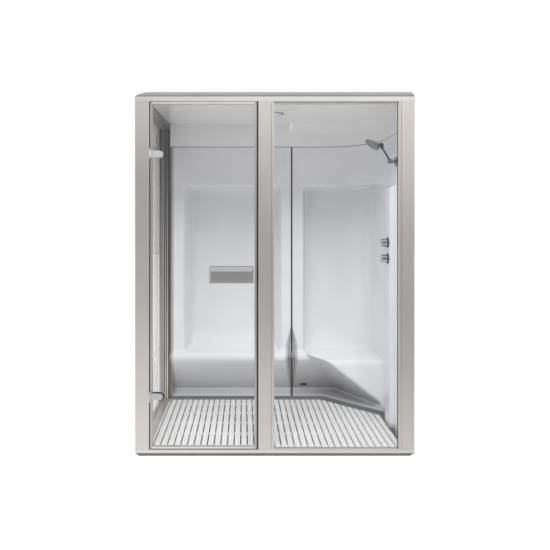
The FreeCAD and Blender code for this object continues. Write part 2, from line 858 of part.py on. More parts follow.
def niche(left_front_x, left_rear_x, right_rear_x, right_front_x, rear_radius, offset):
    """A seat niche, grown by an offset: sloped top and sides, and a cove where seat meets back."""
    front = front_y + wall_depth - niche_cover
    wall = front_y + wall_depth
    back = front_y + niche_depth + offset
    bottom = seat_z - offset
    top_back = niche_top_z - niche_top_slope + offset
    top_wall = niche_top_z + offset
    outline = [(front, bottom), (front, top_wall), (wall, top_wall), (back, top_back), (back, bottom)]
    body = side_prism([(y, z) for y, z in outline], left_front_x - niche_cover, right_front_x + niche_cover)
    body = round_edges(
        body, niche_cove_radius + offset, across,
        lambda middle: middle.y > back - overrun and middle.z < bottom + overrun,
    )
    slant = math.hypot(niche_depth - wall_depth, niche_side_slope) / (niche_depth - wall_depth)
    grow = offset * slant
    plan = [
        (left_front_x - grow, front), (left_front_x - grow, wall), (left_rear_x - grow, back),
        (right_rear_x + grow, back), (right_front_x + grow, wall), (right_front_x + grow, front),
    ]
    plan_body = plan_prism(plan, 0, cabin_height)
    if rear_radius:
        plan_body = round_edges(
            plan_body, rear_radius + offset, upward,
            lambda middle: middle.x > right_rear_x - overrun and middle.y > back - overrun,
        )
    return body.common(plan_body)


def left_niche(offset):
    slope = niche_side_slope
    return niche(
        left_niche_left_x, left_niche_left_x + slope, left_niche_right_x - slope, left_niche_right_x,
        0, offset,
    )


def right_niche(offset):
    """The right niche runs on to the right wall, round its own corner."""
    left = right_niche_left_x
    return niche(left, left + niche_side_slope, room_right_x, room_right_x, right_niche_radius, offset)


def right_niche_side(offset):
    """The part of the right niche in front of the wall plane, up to the service column."""
    front = front_y + column_back_depth - offset
    y_high = front_y + wall_depth
    x_low = lounge_valley_x
    return block(x_low, room_right_x + offset, front, y_high, seat_z - offset, niche_top_z + offset)


def bench(offset):
    """The seat and its undercut riser across the cabin, shrunk by an offset."""
    top = seat_z - offset
    shift = offset * riser_slant / riser_rise
    nose = front_y + seat_nose_depth + shift + offset * riser_run / riser_rise
    foot = nose + top * riser_run / riser_rise
    outline = [(nose, top), (back_y, top), (back_y, 0), (foot, 0)]
    body = side_prism(outline, room_left_x - overrun, right_x)
    return round_edges(
        body, seat_nose_radius - offset, across,
        lambda middle: middle.y < nose + overrun and middle.z > top - overrun,
    )


def lounge_seat(offset):
    """The right seat's forward point over its slanted riser, shrunk by an offset."""
    face = front_y + lounge_face_depth + offset
    top = seat_z - offset
    body = block(lounge_start_x, right_x, face, back_y, 0, top)
    body = round_edges(
        body, seat_nose_radius - offset, across,
        lambda middle: middle.y < face + overrun and middle.z > top - overrun,
    )
    point = Vector(lounge_point_x, front_y + lounge_face_depth, seat_z)
    toe = Vector(lounge_toe_x, front_y + lounge_toe_depth, lounge_toe_z)
    valley = Vector(lounge_valley_x, front_y + lounge_valley_depth, footwell_ledge_z)
    normal = (toe - point).cross(valley - point).normalize()
    return body.common(half_space(point + normal * offset, normal, cabin_height))


def service_column(offset):
    """The raised column on the right wall that the fittings stand on, shrunk by an offset."""
    x_low = room_right_x - column_proud + offset
    y_low = front_y + column_front_depth + offset
    y_high = front_y + column_back_depth - offset
    body = block(x_low, right_x + overrun, y_low, y_high, 0, column_top_z - offset)
    return round_edges(
        body, column_radius - offset, upward, lambda middle: middle.x < x_low + overrun,
    )


def footwell(offset):
    """The room below the seats, with the ledge behind the duckboard, grown by an offset."""
    wall = front_y + wall_depth
    bottom = tray_floor_z - offset
    body = block(room_left_x, room_right_x + offset, front_y + frame_depth, wall, bottom, seat_z)
    inset = footwell_end_wall - offset
    deep = block(
        room_left_x + inset, room_right_x + offset, wall - overrun,
        front_y + footwell_back_depth + offset, bottom, seat_z - offset,
    )
    ledge_front = front_y + footwell_ledge_depth + offset
    ledge_start_x = lounge_ledge_start_x + offset
    ledge_end_x = lounge_ledge_end_x + offset
    ledge_end_y = front_y + lounge_ledge_end_depth + offset
    ledge = plan_prism(
        [(left_x, ledge_front), (ledge_start_x, ledge_front), (ledge_end_x, ledge_end_y),
         (right_x + overrun, ledge_end_y), (right_x + overrun, back_y), (left_x, back_y)],
        0, footwell_ledge_z - offset,
    )
    return cut_all(body.fuse(deep), [ledge, bench(offset), lounge_seat(offset)])


def room(offset):
    """The space inside the liner, grown by an offset."""
    plan = room_outline(offset)
    upper = plan.common(block(left_x, right_x, front_y, back_y, seat_z - offset, joint_z + overrun))
    upper = fuse_all([upper, left_niche(offset), right_niche(offset), right_niche_side(offset)])
    return upper.fuse(footwell(offset)).cut(service_column(offset))


def build_modules():
    """The two acrylic wall modules and the strip in their joint."""
    shell = room(liner_thickness).cut(room(0))
    shell = shell.cut(steam_hole()).cut(valve_holes())
    half_gap = module_joint_gap / 2
    limits = (front_y + frame_depth, back_y, tray_floor_z, joint_z)
    left = shell.common(block(left_x, module_joint_x - half_gap, *limits))
    right = shell.common(block(module_joint_x + half_gap, right_x, *limits))
    seal = shell.common(block(module_joint_x - half_gap, module_joint_x + half_gap, *limits))
    save("left_wall_module", left)
    save("right_wall_module", right)
    save("module_joint_seal", seal)


def ceiling_void(offset):
    """The space under the ceiling, grown by an offset: square at the left, coved at the right."""
    plan = room_outline(offset)
    rise = (ceiling_rear_z - head_z) / (wall_depth - side_rail_width)
    front = front_y + side_rail_width
    lift = offset * math.hypot(1, rise)
    points = [
        (front_y, joint_z - overrun), (front_y, head_z - rise * side_rail_width + lift),
        (back_y, ceiling_rear_z + rise * (back_y - front_y - wall_depth) + lift), (back_y, joint_z - overrun),
    ]
    body = plan.common(side_prism(points, left_x, right_x))
    left = body.common(block(left_x, module_joint_x, front_y, back_y, 0, cabin_height))
    right = body.common(block(module_joint_x, right_x, front_y, back_y, 0, cabin_height))
    tops = []
    for edge in right.Edges:
        middle = edge.valueAt((edge.FirstParameter + edge.LastParameter) / 2)
        high = middle.z > head_z
        at_wall = middle.y > front_y + wall_depth - room_corner_radius or middle.x > room_right_x - overrun
        if high and at_wall and middle.x > module_joint_x + overrun and middle.y > front + overrun:
            tops.append(edge)
    right = right.makeFillet(ceiling_cove_radius + offset, tops)
    return left.fuse(right)


def lamp_frame(shape):
    """Tilts a lamp piece, drawn about the origin, to the ceiling's slope at the lamp's place."""
    rise = (ceiling_rear_z - head_z) / (wall_depth - side_rail_width)
    z = head_z + rise * (lamp_depth - side_rail_width)
    place = Vector(lamp_x, front_y + lamp_depth, z)
    shape.Placement = FreeCAD.Placement(place, FreeCAD.Rotation(across, math.degrees(math.atan(rise))))
    return shape


def build_ceiling():
    panel = ceiling_void(ceiling_thickness).cut(ceiling_void(0))
    rail = block(left_x, right_x, front_y, front_y + side_rail_width, 0, cabin_height + overrun)
    below = block(left_x, right_x, front_y, back_y, 0, joint_z)
    hole_radius = lamp_housing_radius + cleat_clearance
    hole = lamp_frame(rod(upward * -cabin_height, upward * cabin_height, hole_radius))
    save("ceiling_panel", cut_all(panel, [rail, below, hole]))
    low = upward * -lamp_bezel_thickness
    bezel = rod(low, Vector(0, 0, 0), lamp_bezel_radius).cut(rod(low * 2, low * -1, lamp_lens_radius))
    bezel = bezel.makeFillet(
        lamp_bezel_thickness / 2,
        [
            edge for edge in bezel.Edges
            if edge.BoundBox.ZMax < low.z / 2 and edge.BoundBox.XMax > lamp_bezel_radius / 2
        ],
    )
    lens = rod(upward * -lamp_lens_thickness, Vector(0, 0, 0), lamp_lens_radius)
    housing = rod(Vector(0, 0, 0), upward * lamp_housing_height, lamp_housing_radius)
    inside_top = upward * (lamp_housing_height - lamp_housing_wall)
    inside = rod(Vector(0, 0, 0), inside_top, lamp_housing_radius - lamp_housing_wall)
    save("ceiling_light_bezel", lamp_frame(bezel))
    save("ceiling_light_lens", lamp_frame(lens))
    save("ceiling_light_housing", lamp_frame(housing.cut(inside)))


def build_tray():
    x_high = room_right_x + liner_thickness
    y_high = front_y + tray_back_depth
    slab = block(room_left_x, x_high, frame_back_y, y_high, tray_under_z, tray_floor_z)
    left = block(room_left_x, room_left_x + tray_rim_width, frame_back_y, front_y + wall_depth - liner_thickness,
                 tray_floor_z, sill_height)
    right = block(room_right_x - tray_right_rim_width, room_right_x, frame_back_y,
                  front_y + column_front_depth - liner_thickness, tray_floor_z, tray_floor_z + tray_right_rim_height)
    recess = rod(waste_point(tray_floor_z - waste_flange_recess), waste_point(sill_height), waste_flange_radius)
    outlet = rod(waste_point(0), waste_point(sill_height), waste_neck_radius)
    save("shower_tray", cut_all(fuse_all([slab, left, right]), [recess, outlet]))


def waste_point(z):
    """A point on the waste's axis."""
    return Vector(waste_x, front_y + waste_depth, z)


def build_waste():
    flange = rod(waste_point(tray_floor_z - waste_flange_recess), waste_point(tray_floor_z), waste_flange_radius)
    spigot = rod(waste_point(waste_floor_gap), waste_point(tray_floor_z), waste_spigot_radius)
    neck = rod(waste_point(tray_under_z), waste_point(tray_floor_z), waste_neck_radius)
    bore = rod(waste_point(0), waste_point(sill_height), waste_bore_radius)
    save("waste_outlet", fuse_all([flange, neck, spigot]).cut(bore))
    top = tray_floor_z + waste_cover_thickness
    cover = rod(waste_point(tray_floor_z), waste_point(top), waste_cover_radius)
    slots = []
    for index in range(waste_slot_count):
        x = waste_x + (index - (waste_slot_count - 1) / 2) * waste_slot_pitch
        y = front_y + waste_depth
        slots.append(block(
            x - waste_slot_width / 2, x + waste_slot_width / 2,
            y - waste_slot_length / 2, y + waste_slot_length / 2, 0, sill_height,
        ))
    save("waste_cover", cut_all(cover, slots))


def duckboard_outline():
    """The duckboard's plan: square in front, with its rear right corner cut along the ledge."""
    x_low = duckboard_left_x
    x_high = x_low + slat_count * slat_pitch - slat_gap
    y_low = frame_back_y + duckboard_front_gap
    y_high = front_y + footwell_ledge_depth - duckboard_rear_gap
    run = lounge_ledge_end_x - lounge_ledge_start_x
    fall = footwell_ledge_depth - lounge_ledge_end_depth
    slant = math.hypot(run, fall)
    shift = duckboard_rear_gap * slant / fall
    start_x = lounge_ledge_start_x - shift + duckboard_rear_gap * run / fall
    end_y = y_high - (x_high - start_x) * fall / run
    return [(x_low, y_low), (x_high, y_low), (x_high, end_y), (start_x, y_high), (x_low, y_high)]


def build_duckboard():
    outline = duckboard_outline()
    x_low = outline[0][0]
    y_low = outline[0][1]
    y_high = outline[3][1]
    plan = plan_prism(outline, duckboard_under_z, duckboard_top_z)
    slats = []
    for index in range(slat_count):
        x = x_low + index * slat_pitch
        slat = block(x, x + slat_pitch - slat_gap, y_low, y_high, duckboard_under_z, duckboard_top_z)
        slats.append(slat.common(plan))
    save("duckboard_slats", *slats)
    bearer_plan = plan_prism(outline, tray_floor_z, duckboard_under_z)
    bearers = []
    for share in bearer_share:
        y = y_low + share * (y_high - y_low) - bearer_width / 2
        strip = block(x_low + bearer_inset, right_x, y, y + bearer_width, tray_floor_z, duckboard_under_z)
        bearers.append(strip.common(bearer_plan.translated(Vector(-bearer_inset, 0, 0))))
    save("duckboard_bearers", *bearers)


def build_base():
    runners = []
    pads = []
    span = room_right_x - runner_width - room_left_x
    y_low = frame_back_y + runner_end_gap
    y_high = front_y + tray_back_depth
    for index in range(runner_count):
        x = room_left_x + index * span / (runner_count - 1)
        runners.append(block(x, x + runner_width, y_low, y_high, base_pad_thickness, tray_under_z))
        for y in (y_low, y_high - pad_length):
            pads.append(block(x, x + runner_width, y, y + pad_length, 0, base_pad_thickness))
    save("base_runners", *runners)
    save("base_pads", *pads)


def rail(x_low, x_high, z_low):
    """A horizontal square tube along the back."""
    return block(x_low, x_high, rear_frame_y, rear_frame_y + rear_tube, z_low, z_low + rear_tube)


def rear_post_places():
    """The left edges of the rear carcass's three uprights."""
    x_high = room_right_x - rear_tube
    return [left_x + end_panel_thickness + end_panel_inset, module_joint_x - rear_tube / 2, x_high]


def fixing_rail_heights():
    """The undersides of the two rails that are fixed to the building's wall."""
    return [rear_low_rail_z, joint_z - rear_tube]


def build_rear_carcass():
    places = rear_post_places()
    feet = [sill_height, 0, 0]
    uprights = [
        block(x, x + rear_tube, rear_frame_y, rear_frame_y + rear_tube, foot, joint_z)
        for x, foot in zip(places, feet)
    ]
    rails = [rail(places[0], places[2] + rear_tube, z) for z in fixing_rail_heights()]
    save("rear_support_frame", fuse_all(uprights + rails))
    arms = []
    span = room_right_x - rear_tube - room_left_x
    y_low = front_y + arm_front_depth
    top = seat_z - liner_thickness
    for index in range(arm_count):
        x = room_left_x + index * span / (arm_count - 1)
        arms.append(block(x, x + rear_tube, y_low, rear_frame_y, top - rear_tube, top))
    save("seat_support_arms", *arms)
    brackets = []
    niche_back = front_y + niche_depth + liner_thickness
    wall_back = front_y + wall_depth + liner_thickness
    for x in (places[0] + side_rail_width, places[1], places[1] - bracket_length):
        z = joint_z - rear_tube
        brackets.append(block(x, x + bracket_length, wall_back, rear_frame_y, z, joint_z))
    for x in (left_niche_left_x, left_niche_right_x, right_niche_left_x, lounge_point_x):
        z = (seat_z + niche_top_z) / 2
        x = x + niche_side_slope * (1 if x != left_niche_right_x else -2)
        brackets.append(block(x, x + bracket_length, niche_back, rear_frame_y, z, z + rear_tube))
    braces = rail(places[0], places[2] + rear_tube, (seat_z + niche_top_z) / 2)
    plates = []
    for x in fixing_places():
        for z in fixing_rail_heights():
            plate = block(
                x - fixing_plate_width / 2, x + fixing_plate_width / 2, back_y - fixing_plate_thickness, back_y,
                z + rear_tube - fixing_plate_drop, z + rear_tube,
            )
            hole_z = z + rear_tube - fixing_hole_drop
            hole = rod(Vector(x, front_y, hole_z), Vector(x, back_y + overrun, hole_z), fixing_hole_radius)
            plates.append(plate.cut(hole))
    save("liner_brackets", *(brackets + [cut_all(braces, uprights)]))
    save("wall_fixing_plates", *plates)


def fixing_places():
    """Where the fixing plates stand along X."""
    return [left_x + fixing_inset, right_x - fixing_inset]


def build_side_panels():
    x_low = left_x + end_panel_inset
    panel = block(x_low, x_low + end_panel_thickness, rear_post_back_y, back_y, sill_height, head_z)
    save("left_end_panel", panel)
    battens = []
    x_low = room_right_x + liner_thickness
    span = wall_depth - room_corner_radius - frame_depth - batten_width
    for share in batten_share:
        y = frame_back_y + share * span
        battens.append(block(x_low, right_x, y, y + batten_width, sill_height, joint_z))
    save("right_wall_battens", *battens)


def riser_point(z):
    """The point on the seat riser's face at the nozzle's place and a height."""
    y = front_y + seat_nose_depth + (seat_z - z) * riser_run / riser_rise
    return Vector(nozzle_x, y, z)


def riser_normal():
    """The way that the riser's face looks, forwards and down."""
    return Vector(0, -riser_rise, -riser_run).normalize()


def steam_hole():
    """The hole in the riser for the steam nozzle."""
    face = riser_point(nozzle_z)
    normal = riser_normal()
    return rod(face - normal * nozzle_spigot_length, face + normal * overrun, nozzle_spigot_radius)


def generator_back_y():
    """The generator's back face."""
    return rear_frame_y - (generator_back_gap - rear_tube)


def build_steam_supply():
    face = riser_point(nozzle_z)
    normal = riser_normal()
    back = face - normal * nozzle_spigot_length
    front = face + normal * nozzle_flange_thickness
    flange = rod(face, front, nozzle_flange_radius)
    flange = flange.makeFillet(nozzle_flange_thickness / 2, [
        edge for edge in flange.Edges
        if (edge.BoundBox.Center - front).Length < nozzle_flange_thickness / 2
    ])
    bore = rod(back - normal * overrun, front + normal * overrun, nozzle_bore_radius)
    nozzle = flange.fuse(rod(back, face, nozzle_spigot_radius)).cut(bore)
    save("steam_outlet_nozzle", nozzle)
    y_high = generator_back_y()
    y_low = y_high - generator_depth
    x_low = generator_left_x
    z_high = generator_base_z + generator_height
    case = block(x_low, generator_right_x, y_low, y_high, generator_base_z, z_high)
    case = round_edges(case, generator_radius, inward, lambda middle: True)
    port_y = y_high - generator_depth / 2
    inlet_z = generator_base_z + generator_inlet_inset
    inlet = rod(
        Vector(x_low - generator_inlet_length, port_y, inlet_z), Vector(x_low + overrun, port_y, inlet_z),
        generator_inlet_radius,
    )
    legs = []
    for x in (x_low + generator_radius, generator_right_x - generator_radius - rear_tube):
        legs.append(block(x, x + rear_tube, y_high - rear_tube, y_high, tray_floor_z, generator_base_z))
    save("steam_generator", fuse_all([case, inlet] + legs))
    start = Vector(generator_right_x, port_y, steam_pipe_z)
    end = back
    turn = end - normal * (port_y - end.y) * riser_slant / riser_rise
    corner = Vector(turn.x, turn.y, steam_pipe_z)
    save("steam_pipe", pipe([start, corner, turn, end], steam_pipe_radius, steam_pipe_bend))


def column_x():
    """The front face of the service column."""
    return room_right_x - column_proud


def knob_point(z, reach):
    """A point on a knob's axis, at a distance out from the column."""
    return Vector(column_x() - reach, front_y + knob_depth_place, z)


def valve_holes():
    """The holes in the column for the two spindles and the shower's feed."""
    holes = [
        rod(knob_point(z, -liner_thickness - overrun), knob_point(z, overrun), spindle_radius * 2)
        for z in (temperature_knob_z, flow_knob_z)
    ]
    x_low = room_right_x - overrun
    x_high = room_right_x + liner_thickness + overrun
    holes.append(rod(shower_point(x_low), shower_point(x_high), shower_pipe_radius))
    return fuse_all([holes[0], holes[1]]).fuse(holes[2])


def shower_point(x):
    """A point on the axis of the shower's feed through the right wall."""
    return Vector(x, front_y + shower_outlet_depth, shower_outlet_z)


def build_valve():
    x_low = column_x() + liner_thickness + cleat_clearance
    y = front_y + knob_depth_place
    body = block(
        x_low, x_low + valve_thickness, y - valve_width / 2, y + valve_width / 2,
        flow_knob_z - valve_margin, temperature_knob_z + valve_margin,
    )
    spindles = [
        rod(knob_point(z, spindle_length + escutcheon_thickness), Vector(x_low, y, z), spindle_radius)
        for z in (temperature_knob_z, flow_knob_z)
    ]
    x = x_low + valve_thickness / 2
    inlet_end = x_low + valve_thickness + inlet_length
    inlets = []
    for side in (-1, 1):
        inlet_y = y + side * inlet_spacing / 2
        inlets.append(rod(Vector(x, inlet_y, inlet_z), Vector(inlet_end, inlet_y, inlet_z), inlet_radius))
    save("mixer_valve", fuse_all([body] + spindles + inlets))
    plates = []
    for z in (temperature_knob_z, flow_knob_z):
        plate = rod(knob_point(z, 0), knob_point(z, escutcheon_thickness), escutcheon_radius)
        rim = [
            edge for edge in plate.Edges
            if abs(edge.BoundBox.Center.x - knob_point(z, escutcheon_thickness).x) < spindle_clearance
        ]
        plate = plate.makeChamfer(escutcheon_thickness / 2, rim)
        plates.append(plate.cut(rod(knob_point(z, -overrun), knob_point(z, overrun * 2), spindle_radius)))
    save("knob_escutcheons", *plates)
    top = Vector(x, y, temperature_knob_z + valve_margin)
    behind_x = right_x - shower_pipe_radius - spindle_clearance
    route = [
        top, Vector(x, y, column_top_z - shower_pipe_offset * 2),
        Vector(behind_x, y, column_top_z - shower_pipe_offset), Vector(behind_x, y, shower_outlet_z),
        shower_point(behind_x), shower_point(room_right_x),
    ]
    riser = pipe(route, shower_pipe_radius, shower_pipe_bend)
    save("shower_riser_pipe", riser)


def knob(z):
    """A fluted knob on its spindle."""
    base = escutcheon_thickness + knob_gap
    start = knob_point(z, base)
    end = knob_point(z, base + knob_length)
    body = rod(start, end, knob_radius)
    rims = [
        edge for edge in body.Edges
        if abs(edge.BoundBox.Center.x - end.x) < spindle_clearance
    ]
    body = body.makeFillet(knob_groove_radius, rims)
    for index in range(knob_groove_count):
        angle = 2 * math.pi * index / knob_groove_count
        out = Vector(0, math.cos(angle), math.sin(angle)) * (knob_radius + knob_groove_radius / 2)
        past_end = across * overrun
        body = body.cut(rod(start + out + past_end, end + out - past_end, knob_groove_radius))
    socket = rod(
        knob_point(z, 0), knob_point(z, escutcheon_thickness + spindle_length + spindle_clearance),
        spindle_radius + spindle_clearance,
    )
    return body.cut(socket)


def build_knobs():
    save("temperature_knob", knob(temperature_knob_z))
    save("flow_knob", knob(flow_knob_z))


def shower_pivot():
    """The pin between the wall stub and the arm."""
    return shower_point(room_right_x - shower_flange_thickness - shower_stub_length)


def head_pivot():
    """The pin between the arm and the shower head."""
    return shower_pivot() + Vector(-shower_arm_run, 0, shower_arm_rise)


def fork(pin, stem_from, stem_radius):
    """Two cheeks with the pin that they hold, on a stem."""
    half = shower_fork_slot / 2
    cheek = shower_fork_thickness
    whole = rod(pin - inward * (half + cheek), pin + inward * (half + cheek), shower_fork_radius)
    whole = whole.fuse(rod(pin, stem_from, stem_radius))
    slot = rod(pin - inward * half, pin + inward * half, shower_fork_radius + shower_fork_gap)
    pivot = rod(pin - inward * (half + cheek), pin + inward * (half + cheek), shower_pin_radius)
    return whole.cut(slot).fuse(pivot).removeSplitter()


def tongue_end(pin, stem_from, stem_radius):
    """A round tongue with a bore for the pin, on a stem."""
    half = shower_fork_slot / 2 - shower_fork_gap
    disc = rod(pin - inward * half, pin + inward * half, shower_fork_radius - shower_fork_gap)
    stem = rod(pin, stem_from, stem_radius)
    bore = rod(pin - inward * half * 2, pin + inward * half * 2, shower_pin_radius + shower_pin_clearance)
    return disc, stem, bore


def build_shower():
    pivot = shower_pivot()
    wall = shower_point(room_right_x)
    flange = rod(wall, shower_point(room_right_x - shower_flange_thickness), shower_flange_radius)
    save("shower_wall_bracket", flange.fuse(fork(pivot, wall, shower_stub_radius)).removeSplitter())
    end = head_pivot()
    back_along = (pivot - end).normalize()
    collar = end + back_along * shower_fork_collar
    disc, stem, bore = tongue_end(pivot, collar, shower_arm_radius)
    arm = disc.fuse(stem).cut(bore).fuse(fork(end, collar, shower_stub_radius)).removeSplitter()
    save("shower_arm", arm)
    aim = Vector(-math.sin(math.radians(shower_head_tilt)), 0, -math.cos(math.radians(shower_head_tilt)))
    side = Vector(aim.z, 0, -aim.x)
    back = end + side * shower_head_reach + aim * shower_head_offset
    face = back + aim * shower_head_thickness
    cone = Part.makeCone(
        shower_head_neck_radius, shower_head_radius, shower_head_thickness - shower_head_rim, back, aim,
    )
    rim = rod(face - aim * shower_head_rim, face, shower_head_radius)
    disc, stem, bore = tongue_end(end, back + aim * shower_arm_radius, shower_arm_radius)
    save("shower_head", fuse_all([cone, rim, disc, stem]).cut(bore))


os.makedirs("parts", exist_ok=True)
builders = [
    build_posts, build_beads, build_cleats, build_cornice, build_sill, build_fixed_glass, build_door_stops,
    build_door_leaf, build_hinges, build_handle, build_modules, build_ceiling, build_tray, build_waste,
    build_duckboard, build_base, build_rear_carcass, build_side_panels, build_steam_supply, build_valve,
    build_knobs, build_shower,
]
for build in builders:
    build()
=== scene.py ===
# %% [markdown]
# A steam sauna cabin: an aluminium frame, glass panes, a hung glass door and a white moulded
# liner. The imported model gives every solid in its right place, so this lesson loads it first
# and then gives each piece its fine form and its finish. Lengths are metres.

# %% Load the cabin
import json
import math
import bmesh
import bpy
from mathutils import Matrix, Vector


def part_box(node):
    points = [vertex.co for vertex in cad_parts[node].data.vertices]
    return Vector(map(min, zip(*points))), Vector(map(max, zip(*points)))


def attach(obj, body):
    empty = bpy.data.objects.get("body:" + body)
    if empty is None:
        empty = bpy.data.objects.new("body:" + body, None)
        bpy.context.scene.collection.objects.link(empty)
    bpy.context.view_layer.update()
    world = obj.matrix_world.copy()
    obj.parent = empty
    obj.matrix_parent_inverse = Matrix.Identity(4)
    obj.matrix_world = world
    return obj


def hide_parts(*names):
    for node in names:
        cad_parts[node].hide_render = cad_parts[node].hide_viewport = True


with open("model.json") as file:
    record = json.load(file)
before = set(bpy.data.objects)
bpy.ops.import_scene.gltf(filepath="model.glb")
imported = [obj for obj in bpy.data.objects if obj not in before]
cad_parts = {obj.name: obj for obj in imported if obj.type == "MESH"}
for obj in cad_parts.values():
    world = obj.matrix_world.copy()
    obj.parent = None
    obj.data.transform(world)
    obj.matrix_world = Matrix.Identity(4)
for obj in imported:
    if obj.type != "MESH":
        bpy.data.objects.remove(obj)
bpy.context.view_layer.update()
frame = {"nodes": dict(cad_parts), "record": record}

scene = bpy.context.scene
nodes = frame["nodes"]
record = frame["record"]
body_of_node = {node: body for body, members in record["behaviour"]["bodies"].items() for node in members}
slot_of_node = {part["node"]: part["material_slot"] for part in record["subparts"]}
front_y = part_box("left_post")[0].y
material_height = 2.2

# %% [markdown]
# The photograph is a straight front view of a cabin about three metres away, with the lens at
# chest height. A shifted lens keeps the posts upright while the cabin sits above and left of the
# picture's middle, as an architectural photographer would do it.

# %% Camera
camera_x = -0.1887
camera_distance = 2.9
camera_height = 1.39
upright_turn = (math.pi / 2, 0, 0)
camera_place = (camera_x, front_y - camera_distance, camera_height)
bpy.ops.object.camera_add(location=camera_place, rotation=upright_turn)
camera = bpy.context.object
camera.name = "front_camera"
camera.data.sensor_width = 36
camera.data.lens = 31.64
camera.data.shift_x = 0.0575
camera.data.shift_y = -0.0893
scene.camera = camera
scene.view_settings.view_transform = "Standard"

# %% [markdown]
# Materials are made from nodes. Colours are written as the sRGB hex values that a colour picker
# shows, and one function turns them to the linear values that the renderer works in. Another
# small function adds a node, sets its sockets and links them.


# %% Colour and node helpers
def linear(hex_value):
    """An sRGB hex colour as a linear one."""
    channels = [int(hex_value[index:index + 2], 16) / 255 for index in (0, 2, 4)]
    return [c / 12.92 if c <= 0.04045 else ((c + 0.055) / 1.055) ** 2.4 for c in channels] + [1]


def add_node(tree, kind, settings=None, **sockets):
    """Adds a node. A socket's name has _ for a space, or is i0, i1 and so on for its place.

    Its value is a number or another node's output.
    """
    node = tree.nodes.new(kind)
    for name, value in (settings or {}).items():
        setattr(node, name, value)
    for name, value in sockets.items():
        by_place = name[0] == "i" and name[1:].isdigit()
        socket = node.inputs[int(name[1:]) if by_place else name.replace("_", " ")]
        if isinstance(value, bpy.types.NodeSocket):
            tree.links.new(value, socket)
        else:
            socket.default_value = value
    return node


def start_material(name):
    """A new material with only its output node."""
    material = bpy.data.materials.new(name)
    material.use_nodes = True
    material.node_tree.nodes.clear()
    return material, material.node_tree


def end_material(tree, shader):
    add_node(tree, "ShaderNodeOutputMaterial", Surface=shader)


def stops(tree, factor, *pairs):
    """A colour ramp: each pair is a position and a hex colour."""
    node = add_node(tree, "ShaderNodeValToRGB", i0=factor)
    ramp = node.color_ramp
    while len(ramp.elements) < len(pairs):
        ramp.elements.new(0.5)
    for element, (position, colour) in zip(ramp.elements, pairs):
        element.position = position
        element.color = linear(colour)
    return node.outputs["Color"]


def span(tree, value, low, high):
    """Turns a 0 to 1 pattern into a narrow range of numbers."""
    return add_node(tree, "ShaderNodeMapRange", Value=value, To_Min=low, To_Max=high).outputs["Result"]


def grain(tree, stretch, scale, detail=3):
    """Noise on object coordinates, stretched per axis."""
    place = add_node(tree, "ShaderNodeTexCoord").outputs["Object"]
    place = add_node(tree, "ShaderNodeMapping", Vector=place, Scale=stretch).outputs["Vector"]
    return add_node(tree, "ShaderNodeTexNoise", Vector=place, Scale=scale, Detail=detail).outputs["Fac"]


def axes(tree, output="Object"):
    """The three parts of the place on the piece, or of the way that its surface looks."""
    place = add_node(tree, "ShaderNodeTexCoord").outputs[output]
    return add_node(tree, "ShaderNodeSeparateXYZ", Vector=place).outputs


def remap(tree, value, low, high, to_low, to_high):
    """A straight change of scale, held at its ends."""
    return add_node(
        tree, "ShaderNodeMapRange",
        Value=value, From_Min=low, From_Max=high, To_Min=to_low, To_Max=to_high,
    ).outputs["Result"]


def share_of_height(tree):
    """0 at the floor and 1 at the cabin's top."""
    return remap(tree, axes(tree)["Z"], 0, material_height, 0, 1)


def sums(tree, operation, first, second=0.0):
    node = add_node(tree, "ShaderNodeMath", {"operation": operation}, i0=first, i1=second)
    return node.outputs["Value"]


def product(tree, first, second):
    node = add_node(tree, "ShaderNodeVectorMath", {"operation": "MULTIPLY"}, i0=first, i1=second)
    return node.outputs["Vector"]


def bump(tree, height, distance):
    node = add_node(tree, "ShaderNodeBump", Height=height, Distance=distance, Strength=1.0)
    return node.outputs["Normal"]


def add_shader(tree, colour, roughness, **sockets):
    """The standard surface shader."""
    return add_node(
        tree, "ShaderNodeBsdfPrincipled", Base_Color=colour, Roughness=roughness, **sockets,
    ).outputs["BSDF"]


# %% [markdown]
# The frame is extruded aluminium, drawn through a die and then anodised to a satin finish. The
# die leaves fine lines along each bar, about half a millimetre apart, that spread the gloss a
# little across the bar. The lines follow the bar, so posts, rails that run across and rails that
# run back each get the same finish turned their own way.


# %% Satin anodised aluminium
def anodised(name, tones, along, roughness=(0.30, 0.40), fall=None):
    """Satin metal. A fall is painted shade by height, as stops over the cabin's height."""
    material, tree = start_material(name)
    line_pitch, line_depth, cloud_size = 0.0012, 0.00001, 0.35
    stretch = [0.01 if axis == along else 1.0 for axis in "xyz"]
    lines = grain(tree, stretch, 1 / line_pitch)
    cloud = grain(tree, (1, 1, 1), 1 / cloud_size)
    tone = stops(tree, cloud, (0.35, tones[0]), (0.65, tones[1]))
    if fall:
        tone = product(tree, tone, stops(tree, share_of_height(tree), *fall))
    shader = add_shader(
        tree, tone, span(tree, lines, *roughness), Metallic=1.0, Normal=bump(tree, lines, line_depth),
    )
    end_material(tree, shader)
    return material


post_finish = anodised("satin_anodised_aluminium_upright", ("E2DDD9", "E7E3E0"), "z")
rail_finish = anodised("satin_anodised_aluminium_across", ("EAE8E6", "F0EEEC"), "x")
side_rail_finish = anodised("satin_anodised_aluminium_back", ("D6D3D0", "DCD9D7"), "y")
door_finish = anodised("satin_anodised_door_aluminium", ("C9C8C7", "CFCECD"), "z")
hinge_finish = anodised("satin_nickel_hinge", ("E4E4E4", "E9E9E9"), "x", (0.42, 0.50))
bracket_finish = anodised("satin_nickel_bracket", ("C4C4C4", "CACACA"), "x", (0.30, 0.38))
# Painted shade: the lower leaf's nickel is a darker copy of the upper leaf's.
lower_hinge_painted_shade = anodised("satin_nickel_hinge_in_shade", ("D2D2D2", "D6D6D6"), "x", (0.30, 0.38))
grip_finish = anodised("brushed_anodised_grip", ("B4B4B4", "BCBCBC"), "x", (0.34, 0.46))
